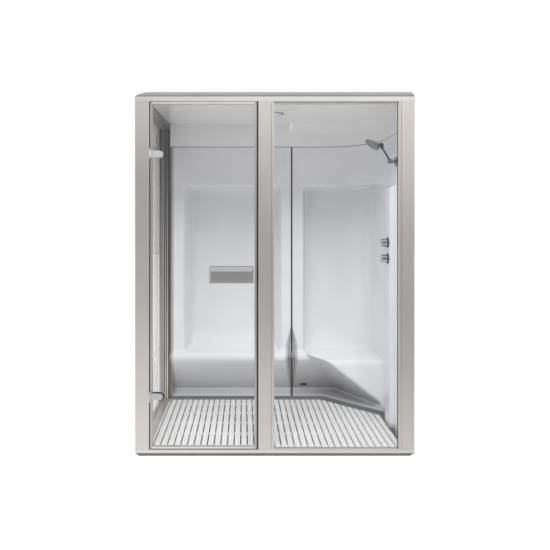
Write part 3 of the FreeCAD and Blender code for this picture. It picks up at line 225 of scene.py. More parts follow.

# %% [markdown]
# Toughened glass is clear. The side pane is painted with shade: it grows a little darker towards its
# top and has a dark band along it. A pane this thin doesn't bend what is behind it, so each face is a
# mix of see-through and mirror, by the Fresnel law. That keeps the light that comes into the cabin,
# and it renders clean. The node takes a back face for the inside of solid glass, where a slanted ray
# would be mirrored wholly, so the ratio is turned over there.


# %% Clear toughened glass
def clear_glass(name, tint):
    """A tint is a hex colour, or stops by height over the cabin's height."""
    material, tree = start_material(name)
    refraction, gloss = 1.45, 0.02
    tint = linear(tint) if isinstance(tint, str) else stops(tree, share_of_height(tree), *tint)
    behind = add_node(tree, "ShaderNodeNewGeometry").outputs["Backfacing"]
    ratio = span(tree, behind, refraction, 1 / refraction)
    facing = add_node(tree, "ShaderNodeFresnel", IOR=ratio).outputs["Fac"]
    through = add_node(tree, "ShaderNodeBsdfTransparent", Color=tint).outputs["BSDF"]
    mirror = add_shader(tree, linear("FFFFFF"), gloss, Metallic=1.0)
    mix = add_node(tree, "ShaderNodeMixShader", Fac=facing, i1=through, i2=mirror)
    end_material(tree, mix.outputs["Shader"])
    return material


pane_finish = clear_glass("clear_toughened_glass", "FFFFFF")
# Painted shade: the side pane darkens towards its top, with a dark band along it.
side_pane_painted_shade = clear_glass(
    "side_toughened_glass_painted_shade",
    ((0.35, "FFFFFF"), (0.70, "F2F2F2"), (0.868, "EAEAEA"), (0.872, "CECED0")),
)

# %% [markdown]
# The liner is a sheet of acrylic, drawn over a mould by vacuum and backed with glass fibre. The
# surface is a hard high gloss, with a slow waviness, up to a tenth of a millimetre deep over two
# hands' width, where the sheet stretched unevenly.


# %% Vacuum formed acrylic
def acrylic(name, tones, roughness=0.14, wave_height=0.0002, shade=None):
    """High gloss sheet. A shade is a function that gives the colour to multiply by, as painted shade."""
    material, tree = start_material(name)
    wave_length, refraction = 0.18, 1.49
    wave = grain(tree, (1, 1, 1), 1 / wave_length, 1)
    tone = stops(tree, wave, (0.3, tones[0]), (0.7, tones[1]))
    if shade:
        tone = product(tree, tone, shade(tree))
    normal = bump(tree, wave, wave_height)
    end_material(tree, add_shader(tree, tone, roughness, IOR=refraction, Normal=normal))
    return material


joint_x, joint_lean, room_left, room_back = 0.1865, 0.0999, -0.757, 0.857
liner_tones = ("EDEEF0", "F1F2F4")


def seam_painted_shade(tree):
    """Painted shade: a darker lens beside the seam, as wide as a hand, where the curled joint lies in
    shade and mirrors its dark seal.
    """
    lens_foot, lens_low, lens_high, lens_tip = 0.07, 0.36, 0.46, 0.63
    half_foot, half_middle, half_tip = 0.012, 0.046, 0.001
    lens_share = 0.8
    place = axes(tree)
    behind = sums(tree, "SUBTRACT", place["Y"], front_y + room_back)
    aside = sums(tree, "SUBTRACT", place["X"], joint_x)
    lean = sums(tree, "MULTIPLY", behind, joint_lean)
    off = sums(tree, "ABSOLUTE", sums(tree, "SUBTRACT", aside, lean))
    above = remap(tree, place["Z"], lens_high, lens_tip, half_middle, half_tip)
    under = remap(tree, place["Z"], lens_foot, lens_low, half_foot, half_middle)
    share = sums(tree, "DIVIDE", off, sums(tree, "MINIMUM", above, under))
    return stops(
        tree, sums(tree, "MULTIPLY", share, lens_share),
        (0.1, "C4C4C4"), (0.38, "9C9C9C"), (0.55, "CCCCCC"), (0.78, "D8D8D8"), (0.86, "FFFFFF"),
    )


def foot_painted_shade(tree, riser, ledge):
    """Painted shade: the undercut riser darkens downwards, and the ledge under it is darker too, as in
    its shade.
    """
    riser_low, riser_high, ledge_low, ledge_high = 0.05, 0.40, 0.06, 0.10
    upright_facing, hanging_facing = -0.05, -0.45
    height, facing = axes(tree)["Z"], axes(tree, "Normal")["Z"]
    undercut = remap(tree, facing, upright_facing, hanging_facing, 0, 1)
    shade = stops(tree, remap(tree, height, riser_low, riser_high, 0, 1), *riser)
    shade = add_node(tree, "ShaderNodeMixRGB", Fac=undercut, i1=(1, 1, 1, 1), i2=shade).outputs["Color"]
    ledge_height = remap(tree, height, ledge_low, ledge_high, 0, 1)
    return product(tree, shade, stops(tree, ledge_height, (0.2, ledge), (0.9, "FFFFFF")))


def liner(name, riser, ledge):
    """The liner's acrylic, with painted shade at its joint, its foot and its end at the rear post."""
    end_width = 0.035

    def shade(tree):
        # Painted shade: the liner darkens at its end by the rear post.
        from_end = remap(tree, axes(tree)["X"], room_left, room_left + end_width, 0, 1)
        end = stops(tree, from_end, (0.1, "8C8C8C"), (1.0, "FFFFFF"))
        return product(tree, end, product(tree, seam_painted_shade(tree), foot_painted_shade(tree, riser, ledge)))

    return acrylic(name, liner_tones, shade=shade)


# Painted shade: the right half's riser and ledge are painted darker than the left half's.
left_liner_finish = liner(
    "vacuum_formed_white_acrylic_left", ((0.05, "C8C8C8"), (0.35, "EEEEEE"), (0.9, "FFFFFF")), "DEDEDE",
)
right_liner_finish = liner(
    "vacuum_formed_white_acrylic_right", ((0.05, "A8A8A8"), (0.4, "D6D6D6"), (0.9, "FCFCFC")), "CCCCCC",
)
liner_finish = acrylic("vacuum_formed_white_acrylic", liner_tones)
# Painted light: the ceiling's acrylic is a lighter copy of the liner's, as if more light fell on it.
ceiling_painted_light = acrylic("vacuum_formed_white_ceiling_painted_light", ("F5F4F5", "F8F7F8"))
# Painted shade: a grey copy of the white acrylic, for the ceiling's step.
step_painted_shade = acrylic("white_acrylic_painted_shade_in_the_step", ("C2C2C3", "C8C8C9"), 0.3, 0.0002)
tray_finish = acrylic("cast_white_acrylic_tray", ("F4F4F4", "F6F6F6"), 0.3, 0.0001)

# %% [markdown]
# Moulded and extruded plastics and rubbers have a fine even texture from the tool: a soft sheen
# with a grain of about half a millimetre. The same recipe in white, black and grey makes the
# slats, the seals, the nozzle and the lamp's opal disc.


# %% Moulded plastic and rubber
def moulded(name, tones, roughness, grain_size=0.0006):
    material, tree = start_material(name)
    grain_depth = 0.00003
    fine = grain(tree, (1, 1, 1), 1 / grain_size)
    tone = stops(tree, fine, (0.3, tones[0]), (0.7, tones[1]))
    end_material(
        tree, add_shader(tree, tone, span(tree, fine, *roughness), Normal=bump(tree, fine, grain_depth)),
    )
    return material


slat_finish = moulded("satin_white_polypropylene", ("EEEEED", "F2F2F1"), (0.35, 0.45))
rubber_finish = moulded("black_extruded_rubber", ("161617", "1D1D1E"), (0.4, 0.55))
dull_seal_finish = moulded("black_matt_joint_seal", ("141415", "1A1A1B"), (0.85, 0.95))
joint_seal_finish = moulded("grey_silicone_joint", ("6A6C6E", "747678"), (0.4, 0.5))
pale_seal_finish = moulded("pale_silicone_gasket", ("BDBEBE", "C6C7C7"), (0.35, 0.45))
black_plastic_finish = moulded("black_moulded_nylon", ("030303", "050505"), (0.75, 0.85))
lens_finish = moulded("opal_acrylic_lens", ("F2F2F0", "F6F6F4"), (0.12, 0.18))
lamp_case_finish = moulded("white_moulded_case", ("D9D9D8", "DEDEDD"), (0.4, 0.5))
panel_finish = moulded("white_coated_sheet", ("DDDDDC", "E1E1E0"), (0.3, 0.4), 0.002)

# %% [markdown]
# Chrome plate is a mirror over polished brass, brass itself is duller, and galvanised steel has
# a spangle of zinc crystals about ten millimetres across.


# %% Metals of the fittings
def chrome(name, tone, roughness):
    material, tree = start_material(name)
    haze_size = 0.02
    haze = grain(tree, (1, 1, 1), 1 / haze_size)
    end_material(tree, add_shader(tree, linear(tone), span(tree, haze, *roughness), Metallic=1.0))
    return material


def galvanised(name):
    material, tree = start_material(name)
    crystal = 0.01
    place = add_node(tree, "ShaderNodeTexCoord").outputs["Object"]
    spangle = add_node(tree, "ShaderNodeTexVoronoi", Vector=place, Scale=1 / crystal).outputs["Color"]
    shade = add_node(tree, "ShaderNodeSeparateColor", Color=spangle).outputs["Red"]
    tone = stops(tree, shade, (0.0, "A4A8AB"), (1.0, "BFC3C6"))
    end_material(tree, add_shader(tree, tone, span(tree, shade, 0.35, 0.55), Metallic=1.0))
    return material


chrome_finish = chrome("polished_chrome_plate", "DADCDE", (0.06, 0.12))
# Painted reflection: a greyer copy of the chrome for the shower head and its bracket.
chrome_painted_grey_reflection = chrome("chrome_plate_painted_grey_reflection", "8B9092", (0.08, 0.16))
# Painted reflection: a dark copy of the chrome for the shower arm and the knobs' escutcheons.
chrome_painted_dark_reflection = chrome("chrome_plate_painted_dark_reflection", "55595B", (0.10, 0.18))
brass_finish = chrome("drawn_brass", "C9A86A", (0.25, 0.4))
# Painted shade: the knobs' chrome is a darker copy of the polished chrome.
knob_painted_shade = chrome("chrome_plate_in_shade", "D2D5D7", (0.08, 0.14))
# Painted shade: the rear post darkens towards the top.
post_painted_shade = anodised(
    "satin_anodised_in_shade", ("E2DDD9", "E7E3E0"), "z",
    fall=((0.1, "FFFFFF"), (0.45, "D8D8D8"), (0.8, "969696")),
)
zinc_finish = galvanised("galvanised_steel")
case_finish = anodised("brushed_stainless_case", ("BDBFC1", "C4C6C8"), "x")

finishes = {
    "frame_aluminium": post_finish,
    "door_aluminium": door_finish,
    "inner_aluminium": post_finish,
    "clear_glass": pane_finish,
    "black_rubber": rubber_finish,
    "chrome": chrome_finish,
    "white_acrylic": liner_finish,
    "opal_lens": lens_finish,
    "lamp_housing": lamp_case_finish,
    "slat_plastic": slat_finish,
    "white_panel": panel_finish,
    "galvanised_steel": zinc_finish,
    "generator_case": case_finish,
    "black_plastic": black_plastic_finish,
    "brass": brass_finish,
}
node_finishes = {
    "front_cornice": rail_finish,
    "front_sill": rail_finish,
    "side_cornice": side_rail_finish,
    "side_sill": side_rail_finish,
    "door_top_rail": rail_finish,
    "door_bottom_rail": rail_finish,
    "handle_outer_grip": grip_finish,
    "handle_inner_grip": grip_finish,
    "shower_tray": tray_finish,
    "upper_hinge_leaf": hinge_finish,
    "lower_hinge_leaf": lower_hinge_painted_shade,
    "side_glass_gasket": pale_seal_finish,
    "side_glass": side_pane_painted_shade,
    "hinge_post_brackets": bracket_finish,
    "shower_arm": chrome_painted_dark_reflection,
    "shower_head": chrome_painted_grey_reflection,
    "shower_wall_bracket": chrome_painted_grey_reflection,
    "knob_escutcheons": chrome_painted_dark_reflection,
    "temperature_knob": knob_painted_shade,
    "flow_knob": knob_painted_shade,
    "ceiling_light_bezel": grip_finish,
    "ceiling_panel": ceiling_painted_light,
    "rear_left_post": post_painted_shade,
}


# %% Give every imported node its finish
def finish_of(node):
    return node_finishes.get(node, finishes[slot_of_node[node]])


for node, obj in nodes.items():
    obj.data.materials.clear()
    obj.data.materials.append(finish_of(node))
print("finished nodes:", len(nodes))

# %% [markdown]
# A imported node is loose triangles, which shade as flat facets. A bar or sheet in real life has
# small rounded edges that catch the light. So each rigid piece is copied, its triangles are
# joined, flat areas are made one face again, and a narrow bevel rounds its edges.


# %% Dress a piece with rounded edges
def only(obj):
    """Makes one object the selected and active one."""
    bpy.ops.object.select_all(action="DESELECT")
    obj.select_set(True)
    bpy.context.view_layer.objects.active = obj


def mesh_piece(name, mesh=None):
    piece = bpy.data.objects.new(name, mesh or bpy.data.meshes.new(name))
    scene.collection.objects.link(piece)
    return piece


def apply_last(piece):
    bpy.ops.object.modifier_apply(modifier=piece.modifiers[-1].name)


def settle(piece, node):
    """Puts a piece in a node's place: its body, and the node hidden."""
    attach(piece, body_of_node[node])
    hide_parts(node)


def flatten(piece):
    """Lets the large faces set the shading, so a flat face looks flat up to its rounded edge."""
    bpy.ops.object.modifier_add(type="WEIGHTED_NORMAL")
    piece.modifiers[-1].keep_sharp = True
    apply_last(piece)


def dress(node, edge_radius, smooth=30):
    """A joined and edge-rounded copy of a node, in its place."""
    piece = mesh_piece(node + "_piece", nodes[node].data.copy())
    only(piece)
    bpy.ops.object.mode_set(mode="EDIT")
    bpy.ops.mesh.select_all(action="SELECT")
    bpy.ops.mesh.remove_doubles(threshold=0.00001)
    bpy.ops.mesh.dissolve_limited(angle_limit=math.radians(0.5))
    bpy.ops.object.mode_set(mode="OBJECT")
    if edge_radius:
        bpy.ops.object.modifier_add(type="BEVEL")
        rounding = piece.modifiers[-1]
        rounding.width = edge_radius
        rounding.segments = 2
        rounding.limit_method = "ANGLE"
        rounding.angle_limit = math.radians(smooth)
        apply_last(piece)
    bpy.ops.object.shade_smooth_by_angle(angle=math.radians(smooth))
    flatten(piece)
    settle(piece, node)
    return piece


def paint_faces(piece, finish, picks):
    """Gives a second finish to the faces whose middle and normal pass a test."""
    piece.data.materials.append(finish)
    for face in piece.data.polygons:
        if picks(face.center, face.normal):
            face.material_index = len(piece.data.materials) - 1


def front_groove(piece, low, high, depth, finish):
    """Cuts a band down a post's front face, presses it in by a depth and gives it a finish."""
    front = min(vertex.co.y for vertex in piece.data.vertices)
    across = Vector((1, 0, 0))
    face_depth, edge, past_floor = 0.002, 0.0001, 1.5
    only(piece)
    bpy.ops.object.mode_set(mode="EDIT")
    for place in (low, high):
        bpy.ops.mesh.select_all(action="SELECT")
        bpy.ops.mesh.bisect(plane_co=across * place, plane_no=across)
    bpy.ops.mesh.select_mode(type="FACE")
    bpy.ops.mesh.select_all(action="DESELECT")
    shape = bmesh.from_edit_mesh(piece.data)
    for face in shape.faces:
        middle = face.calc_center_median()
        on_front = face.normal.y < -0.5 and middle.y < front + face_depth
        face.select_set(low < middle.x < high and on_front)
    bmesh.update_edit_mesh(piece.data)
    bpy.ops.mesh.extrude_region_move(TRANSFORM_OT_translate={"value": (0, depth, 0)})
    bpy.ops.object.mode_set(mode="OBJECT")
    groove_end = front + depth * past_floor
    paint_faces(piece, finish, lambda m, n: low - edge < m.x < high + edge and m.y < groove_end)


# %% Dress the rigid pieces
edge_radii = (
    (0.0012, "left_post center_mullion right_post rear_left_post"),
    (0.0012, "front_cornice side_cornice front_sill side_sill"),
    (0.0008, "door_hinge_stile door_lock_stile door_top_rail door_bottom_rail front_glazing_beads"),
    (0.0006, "handle_outer_grip handle_inner_grip knob_escutcheons"),
    (0.0006, "temperature_knob flow_knob shower_arm shower_head"),
    (0.0007, "upper_hinge_leaf lower_hinge_leaf hinge_post_brackets shower_wall_bracket"),
    (0.0007, "front_glass_gasket side_glass_gasket"),
    (0.0015, "duckboard_slats duckboard_bearers shower_tray"),
    (0.0015, "left_end_panel rear_support_frame right_wall_battens"),
    (0.0010, "steam_generator wall_fixing_plates seat_support_arms"),
    (0.0010, "liner_brackets base_runners mixer_valve"),
    (0.0, "ceiling_panel ceiling_light_bezel ceiling_light_lens"),
    (0.0, "steam_outlet_nozzle steam_pipe shower_riser_pipe"),
)
pieces = {}
for radius, names in edge_radii:
    for name in names.split():
        pieces[name] = dress(name, radius, smooth=45 if name == "ceiling_panel" else 30)
print("dressed pieces:", len(pieces))

# %% [markdown]
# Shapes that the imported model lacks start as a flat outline, pushed along a vector by the extrude
# operator.


# %% Prisms
def prism(name, corners, push):
    """A flat outline filled and pushed along a vector."""
    mesh = bpy.data.meshes.new(name)
    mesh.from_pydata(corners, [], [range(len(corners))])
    piece = mesh_piece(name, mesh)
    only(piece)
    bpy.ops.object.mode_set(mode="EDIT")
    bpy.ops.mesh.select_all(action="SELECT")
    bpy.ops.mesh.extrude_region_move(TRANSFORM_OT_translate={"value": push})
    bpy.ops.mesh.select_all(action="SELECT")
    bpy.ops.mesh.normals_make_consistent(inside=False)
    bpy.ops.object.mode_set(mode="OBJECT")
    return piece


# %% [markdown]
# Some extrusions show a second tone. The sill's toe and the band above the cornice's groove turn
# away from the room's light, and their darker tone is painted shade, as is the black in the
# cornice's groove. The fixed pane's gasket is pale except at the wall side. The rear post's three
# grooves and the side cornice's inner face are painted dark as shade, and the flutes of the two
# knobs are filled with black as painted shade. The steam outlet is a flat oval, and the lower hinge
# leaf stands on a dark rubber pad, whose rim past the leaf is painted shadow.

# %% Second tones
toe_painted_shade = anodised("satin_anodised_toe_painted_shade", ("6C6967", "747170"), "x")
cap_painted_shade = anodised("satin_anodised_cap_painted_shade", ("A09E9C", "A8A6A4"), "x")
painted_shade_line = anodised("shaded_groove_in_aluminium", ("565453", "5E5C5B"), "z")
groove_low, groove_high = 2.1675, 2.1715
gasket_wall_side = 0.735
step_left, step_right = 0.05, 0.3
# Painted shade: the sill's downward toe is painted darker.
paint_faces(pieces["front_sill"], toe_painted_shade, lambda m, n: n.y < -0.2 and n.z < -0.3)
# Painted shade: the cornice's band that faces up, above its groove, is painted darker.
paint_faces(pieces["front_cornice"], cap_painted_shade, lambda m, n: n.y < -0.2 and n.z > 0.3)
# Painted shade: the cornice's groove is filled with black rubber to darken it.
paint_faces(pieces["front_cornice"], rubber_finish, lambda m, n: groove_low < m.z < groove_high)
# Painted shade: the rear post's three grooves are pressed in and painted dark.
for low, high, depth in ((-0.7715, -0.756, 0.004), (-0.788, -0.784, 0.003), (-0.803, -0.798, 0.003)):
    front_groove(pieces["rear_left_post"], low, high, depth, painted_shade_line)
gasket = pieces["front_glass_gasket"]
gasket.data.materials[0] = pale_seal_finish
paint_faces(gasket, rubber_finish, lambda m, n: m.x > gasket_wall_side)
# Painted shade: the side cornice's inner face is painted dark.
paint_faces(pieces["side_cornice"], painted_shade_line, lambda m, n: n.x > 0.5)
# Painted shade: the ceiling's step is painted a darker grey.
paint_faces(
    pieces["ceiling_panel"], step_painted_shade, lambda m, n: n.x < -0.3 and step_left < m.x < step_right,
)
# Painted shade: the flutes of the knobs are filled with black.
flute_core, flute_rim = 0.012, 0.0262
for name in ("temperature_knob", "flow_knob"):
    low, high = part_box(name)
    hub = (low + high) / 2
    paint_faces(
        pieces[name], black_plastic_finish,
        lambda m, n: flute_core < math.hypot(m.y - hub.y, m.z - hub.z) < flute_rim and abs(n.x) < 0.3,
    )
print("two-tone pieces:", sum(len(piece.data.materials) > 1 for piece in pieces.values()))

# %% The steam outlet's flat oval
oval_height, oval_width = 0.70, 1.28
up_the_riser = Vector((0, -0.594, 0.804))
low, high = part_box("steam_outlet_nozzle")
centre = Matrix.Translation((low + high) / 2)
flatten_up = Matrix.Scale(oval_height, 4, up_the_riser)
widen = Matrix.Scale(oval_width, 4, Vector((1, 0, 0)))
pieces["steam_outlet_nozzle"].data.transform(centre @ flatten_up @ widen @ centre.inverted())
print("oval over circle:", oval_height, "high", oval_width, "wide")

# %% The rubber pad under the lower hinge leaf: its dark rim past the leaf is painted shadow
pad_overlap, pad_inset, pad_behind, pad_thickness = 0.006, 0.012, 0.0165, 0.003
low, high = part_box("lower_hinge_leaf")
middle = (low.z + high.z) / 2
reach = (high.z - low.z) / 2 + pad_overlap
round_x = high.x + pad_overlap - reach
turns = [math.pi / 2 - math.pi * step / 16 for step in range(17)]
outline = [(low.x + pad_inset, middle + reach)]
outline += [(round_x + reach * math.cos(turn), middle + reach * math.sin(turn)) for turn in turns]
outline += [(low.x + pad_inset, middle - reach + pad_inset)]
pad = prism("lower_hinge_shadow_pad", [(x, low.y + pad_behind, z) for x, z in outline], (0, pad_thickness, 0))
pad.data.materials.append(rubber_finish)
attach(pad, "door")
print("pad corners:", len(outline))

# %% [markdown]
# The liner is one soft skin, so it is modelled as a mould maker would see it: a block with the
# room pressed into it. The room is a void of simple shapes joined by booleans: the upper room
# with its round corner, two seat niches, and the footwell, less the bench, the corner seat and
# the service column. The block is then rebuilt as an even grid and relaxed, which rounds every
# edge as a drawn acrylic sheet rounds over its mould, and only its room side is kept.

# %% Sizes of the liner, as depths behind the frame's face
def at(x, depth, z):
    """A point in the frame from its depth behind the front."""
    return Vector((x, front_y + depth, z))


room_right, room_front = 0.820, 0.034
room_top, seat_top, tray_top = 2.005, 0.413, 0.022
corner_radius = 0.36
niche_back, niche_top = 1.087, 1.697
nose_depth, riser_foot = 0.768, 1.073
corner_front = 0.595
ledge_top = 0.065
column_left, column_front, column_back, column_top = 0.780, 0.288, 0.433, 1.655
print("room height:", round(room_top - tray_top, 3))


# %% Tools that press shapes into the block
# A middle this close to a face counts as on it.
near = 0.01


def box_piece(name, x_low, x_high, depth_low, depth_high, z_low, z_high):
    plan = ((x_low, depth_low), (x_high, depth_low), (x_high, depth_high), (x_low, depth_high))
    return prism(name, [at(x, depth, z_low) for x, depth in plan], (0, 0, z_high - z_low))


def round_edges(piece, radius, segments, picks):
    """Bevels the edges whose middle and direction pass a test."""
    only(piece)
    bpy.ops.object.mode_set(mode="EDIT")
    bpy.ops.mesh.select_mode(type="EDGE")
    bpy.ops.mesh.select_all(action="DESELECT")
    shape = bmesh.from_edit_mesh(piece.data)
    for edge in shape.edges:
        ends = [vertex.co for vertex in edge.verts]
        if picks((ends[0] + ends[1]) / 2, (ends[1] - ends[0]).normalized()):
            edge.select_set(True)
    bmesh.update_edit_mesh(piece.data)
    bpy.ops.mesh.bevel(offset=radius, segments=segments, profile=0.5)
    bpy.ops.object.mode_set(mode="OBJECT")


def combine(piece, other, operation):
    """A boolean with another piece, which is then removed."""
    only(piece)
    bpy.ops.object.modifier_add(type="BOOLEAN")
    join = piece.modifiers[-1]
    join.operation = operation
    join.object = other
    join.solver = "EXACT"
    apply_last(piece)
    bpy.data.objects.remove(other)


def upright(direction):
    return abs(direction.z) > 0.99


def level(direction):
    return abs(direction.x) > 0.99


# %% The upper room and its seat niches
def depth_of(point):
    return point.y - front_y


def seat_niche(name, x_front_low, x_rear_low, x_rear_high, x_front_high, rear_radius):
    """A niche with sloping sides and top, a coved seat back and, at the right, a round corner."""
    overlap, beyond, cove, top_drop = 0.12, 0.1, 0.14, 0.042
    sides_low, sides_height = 0.3, 1.6
    profile = (
        (room_back - overlap, seat_top), (room_back - overlap, niche_top), (room_back, niche_top),
        (niche_back, niche_top - top_drop), (niche_back, seat_top),
    )
    width = x_front_high - x_front_low + 2 * beyond
    body = prism(name, [at(x_front_low - beyond, depth, z) for depth, z in profile], (width, 0, 0))
    round_edges(
        body, cove, 12,
        lambda m, d: level(d) and depth_of(m) > niche_back - near and m.z < seat_top + near,
    )
    plan = (
        (x_front_low, room_back - overlap), (x_front_low, room_back), (x_rear_low, niche_back),
        (x_rear_high, niche_back), (x_front_high, room_back), (x_front_high, room_back - overlap),
    )
    sides = prism("sides", [at(x, depth, sides_low) for x, depth in plan], (0, 0, sides_height))
    if rear_radius:
        round_edges(
            sides, rear_radius, 16,
            lambda m, d: upright(d) and m.x > x_rear_high - near and depth_of(m) > niche_back - near,
        )
    combine(body, sides, "INTERSECT")
    return body


past_end, past_front = 0.3, 0.1
room = box_piece(
    "room", room_left - past_end, room_right, -past_front, room_back, tray_top, room_top + past_end,
)
round_edges(
    room, corner_radius, 24,
    lambda m, d: upright(d) and m.x > room_right - near and depth_of(m) > room_back - near,
)
combine(room, seat_niche("left_niche", -0.653, -0.607, 0.059, 0.105, 0), "UNION")
combine(room, seat_niche("right_niche", 0.275, 0.321, room_right, room_right, 0.30), "UNION")
niche_side = box_piece("niche_side", 0.56, room_right, column_back, room_back, seat_top, niche_top)
combine(room, niche_side, "UNION")
footwell = box_piece("footwell", -0.751, room_right, room_back - 0.1, 1.045, tray_top, seat_top - 0.001)
combine(room, footwell, "UNION")
print("room faces:", len(room.data.polygons))

# %% [markdown]
# The two halves of the bench meet at the seam between the mouldings. Each end curls back there,
# so a groove opens between them: narrow on the wall above, as wide as a hand at the seat, and
# narrow again at the foot. It is lofted from one cross-section, drawn at several heights.


# %% The bench, the corner seat and the curled joint between them
def bench_depth(z):
    """How far behind the front the wall or the undercut riser stands at a height."""
    if z > seat_top + near:
        return room_back
    return nose_depth + (seat_top - z) * (riser_foot - nose_depth) / seat_top


def seam_x(depth):
    """The seam between the halves is cut on a plane that looks straight from the door."""
    return joint_x + joint_lean * (depth - room_back)


def curled_joint(levels):
    """A void whose two sides are quarter rounds: each level is a height and half its width."""
    depth_ratio, overlap, lip = 1.3, 0.04, 0.5
    loops = []
    for z, half in levels:
        front = bench_depth(z)
        deep = half * depth_ratio
        arc = []
        for turn in (lip, 0.75, 1.0, 1.28, math.pi / 2):
            inward = (math.sin(turn) - 1) / (1 - math.sin(lip))
            arc.append((half * inward, front + deep * (1 - math.cos(turn) / math.cos(lip))))
        loop = [(-half, front - overlap)] + arc
        loop += [(-x, depth) for x, depth in reversed(arc[:-1])] + [(half, front - overlap)]
        loops.append([at(seam_x(front) + x, depth, z) for x, depth in loop])
    corners = [corner for loop in loops for corner in loop]
    count = len(loops[0])
    starts = range(0, len(corners), count)
    edges = [(start + i, start + (i + 1) % count) for start in starts for i in range(count)]
    mesh = bpy.data.meshes.new("curled_joint")
    mesh.from_pydata(corners, edges, [])
    piece = mesh_piece("curled_joint", mesh)
    only(piece)
    bpy.ops.object.mode_set(mode="EDIT")
    bpy.ops.mesh.select_all(action="SELECT")
    bpy.ops.mesh.bridge_edge_loops()
    bpy.ops.object.mode_set(mode="OBJECT")
    bpy.ops.object.mode_set(mode="EDIT")
    bpy.ops.mesh.select_all(action="DESELECT")
    bpy.ops.mesh.select_mode(type="EDGE")
    bpy.ops.mesh.select_non_manifold()
    bpy.ops.mesh.fill_holes(sides=0)
    bpy.ops.mesh.select_all(action="SELECT")
    bpy.ops.mesh.normals_make_consistent(inside=False)
    bpy.ops.object.mode_set(mode="OBJECT")
    return piece


# %% Take the seats from the room and open the joint
below, behind = -0.1, 1.3
nose_radius, corner_edge, column_edge = 0.085, 0.03, 0.018
profile = ((nose_depth, seat_top), (behind, seat_top), (behind, below), (bench_depth(below), below))
bench = prism("bench", [at(-0.9, depth, z) for depth, z in profile], (2.0, 0, 0))
round_edges(
    bench, nose_radius, 10,
    lambda m, d: level(d) and m.z > seat_top - near and depth_of(m) < nose_depth + near,
)
corner_seat = box_piece("corner_seat", 0.19, 1.0, corner_front, behind, below, seat_top)
round_edges(
    corner_seat, corner_edge, 6,
    lambda m, d: level(d) and m.z > seat_top - near and depth_of(m) < corner_front + near,
)
point = at(0.423, corner_front, seat_top)
toe = at(0.828, 0.620, 0.070)
valley = at(0.560, 1.040, ledge_top)
slant = (toe - point).cross(valley - point).normalized()
only(corner_seat)
bpy.ops.object.mode_set(mode="EDIT")
bpy.ops.mesh.select_all(action="SELECT")
bpy.ops.mesh.bisect(plane_co=point, plane_no=slant, use_fill=True, clear_inner=True)
bpy.ops.object.mode_set(mode="OBJECT")
plan = ((-1, 0.887), (0.426, 0.887), (0.813, 0.567), (1.2, 0.567), (1.2, behind), (-1, behind))
ledge = prism("ledge", [at(x, depth, below) for x, depth in plan], (0, 0, ledge_top - below))
column = box_piece("column", column_left, 1.0, column_front, column_back, below, column_top)
round_edges(
    column, column_edge, 4,
    lambda m, d: m.x < column_left + near and (upright(d) or m.z > column_top - near),
)
for solid in (bench, corner_seat, ledge, column):
    combine(room, solid, "DIFFERENCE")
curl = curled_joint((
    (0.68, 0.001), (0.60, 0.012), (0.54, 0.026), (0.48, 0.042), (0.42, 0.052), (0.34, 0.054),
    (0.26, 0.048), (0.18, 0.034), (0.11, 0.014), (0.08, 0.001),
))
combine(room, curl, "UNION")
print("room faces with its seats:", len(room.data.polygons))

# %% [markdown]
# The block is rebuilt as a grid of 10 mm squares and relaxed a few times. Planes then trim it to
# the liner's real edges, the faces that don't look into the room are deleted, and the skin is
# given the thickness of a drawn sheet, away from the room.

# %% Press the room into a block
margin, grid_size = 0.03, 0.010
block_right, block_back = 0.90, 1.16
mould = box_piece(
    "mould", room_left - margin, block_right, room_front - margin, block_back,
    tray_top - margin, room_top + margin,
)
combine(mould, room, "DIFFERENCE")
only(mould)
bpy.ops.object.modifier_add(type="REMESH")
grid = mould.modifiers[-1]
grid.mode = "VOXEL"
grid.voxel_size = grid_size
apply_last(mould)
bpy.ops.object.mode_set(mode="EDIT")
bpy.ops.mesh.select_all(action="SELECT")
bpy.ops.mesh.vertices_smooth(factor=0.5, repeat=4)
bpy.ops.object.mode_set(mode="OBJECT")
print("mould faces:", len(mould.data.polygons))


# %% A sheet cut from the skin
def trim(piece, place, outward):
    """Cuts a piece at a plane and removes the side that the direction points to."""
    only(piece)
    bpy.ops.object.mode_set(mode="EDIT")
    bpy.ops.mesh.select_all(action="SELECT")
    bpy.ops.mesh.bisect(plane_co=place, plane_no=outward, clear_outer=True)
    bpy.ops.object.mode_set(mode="OBJECT")


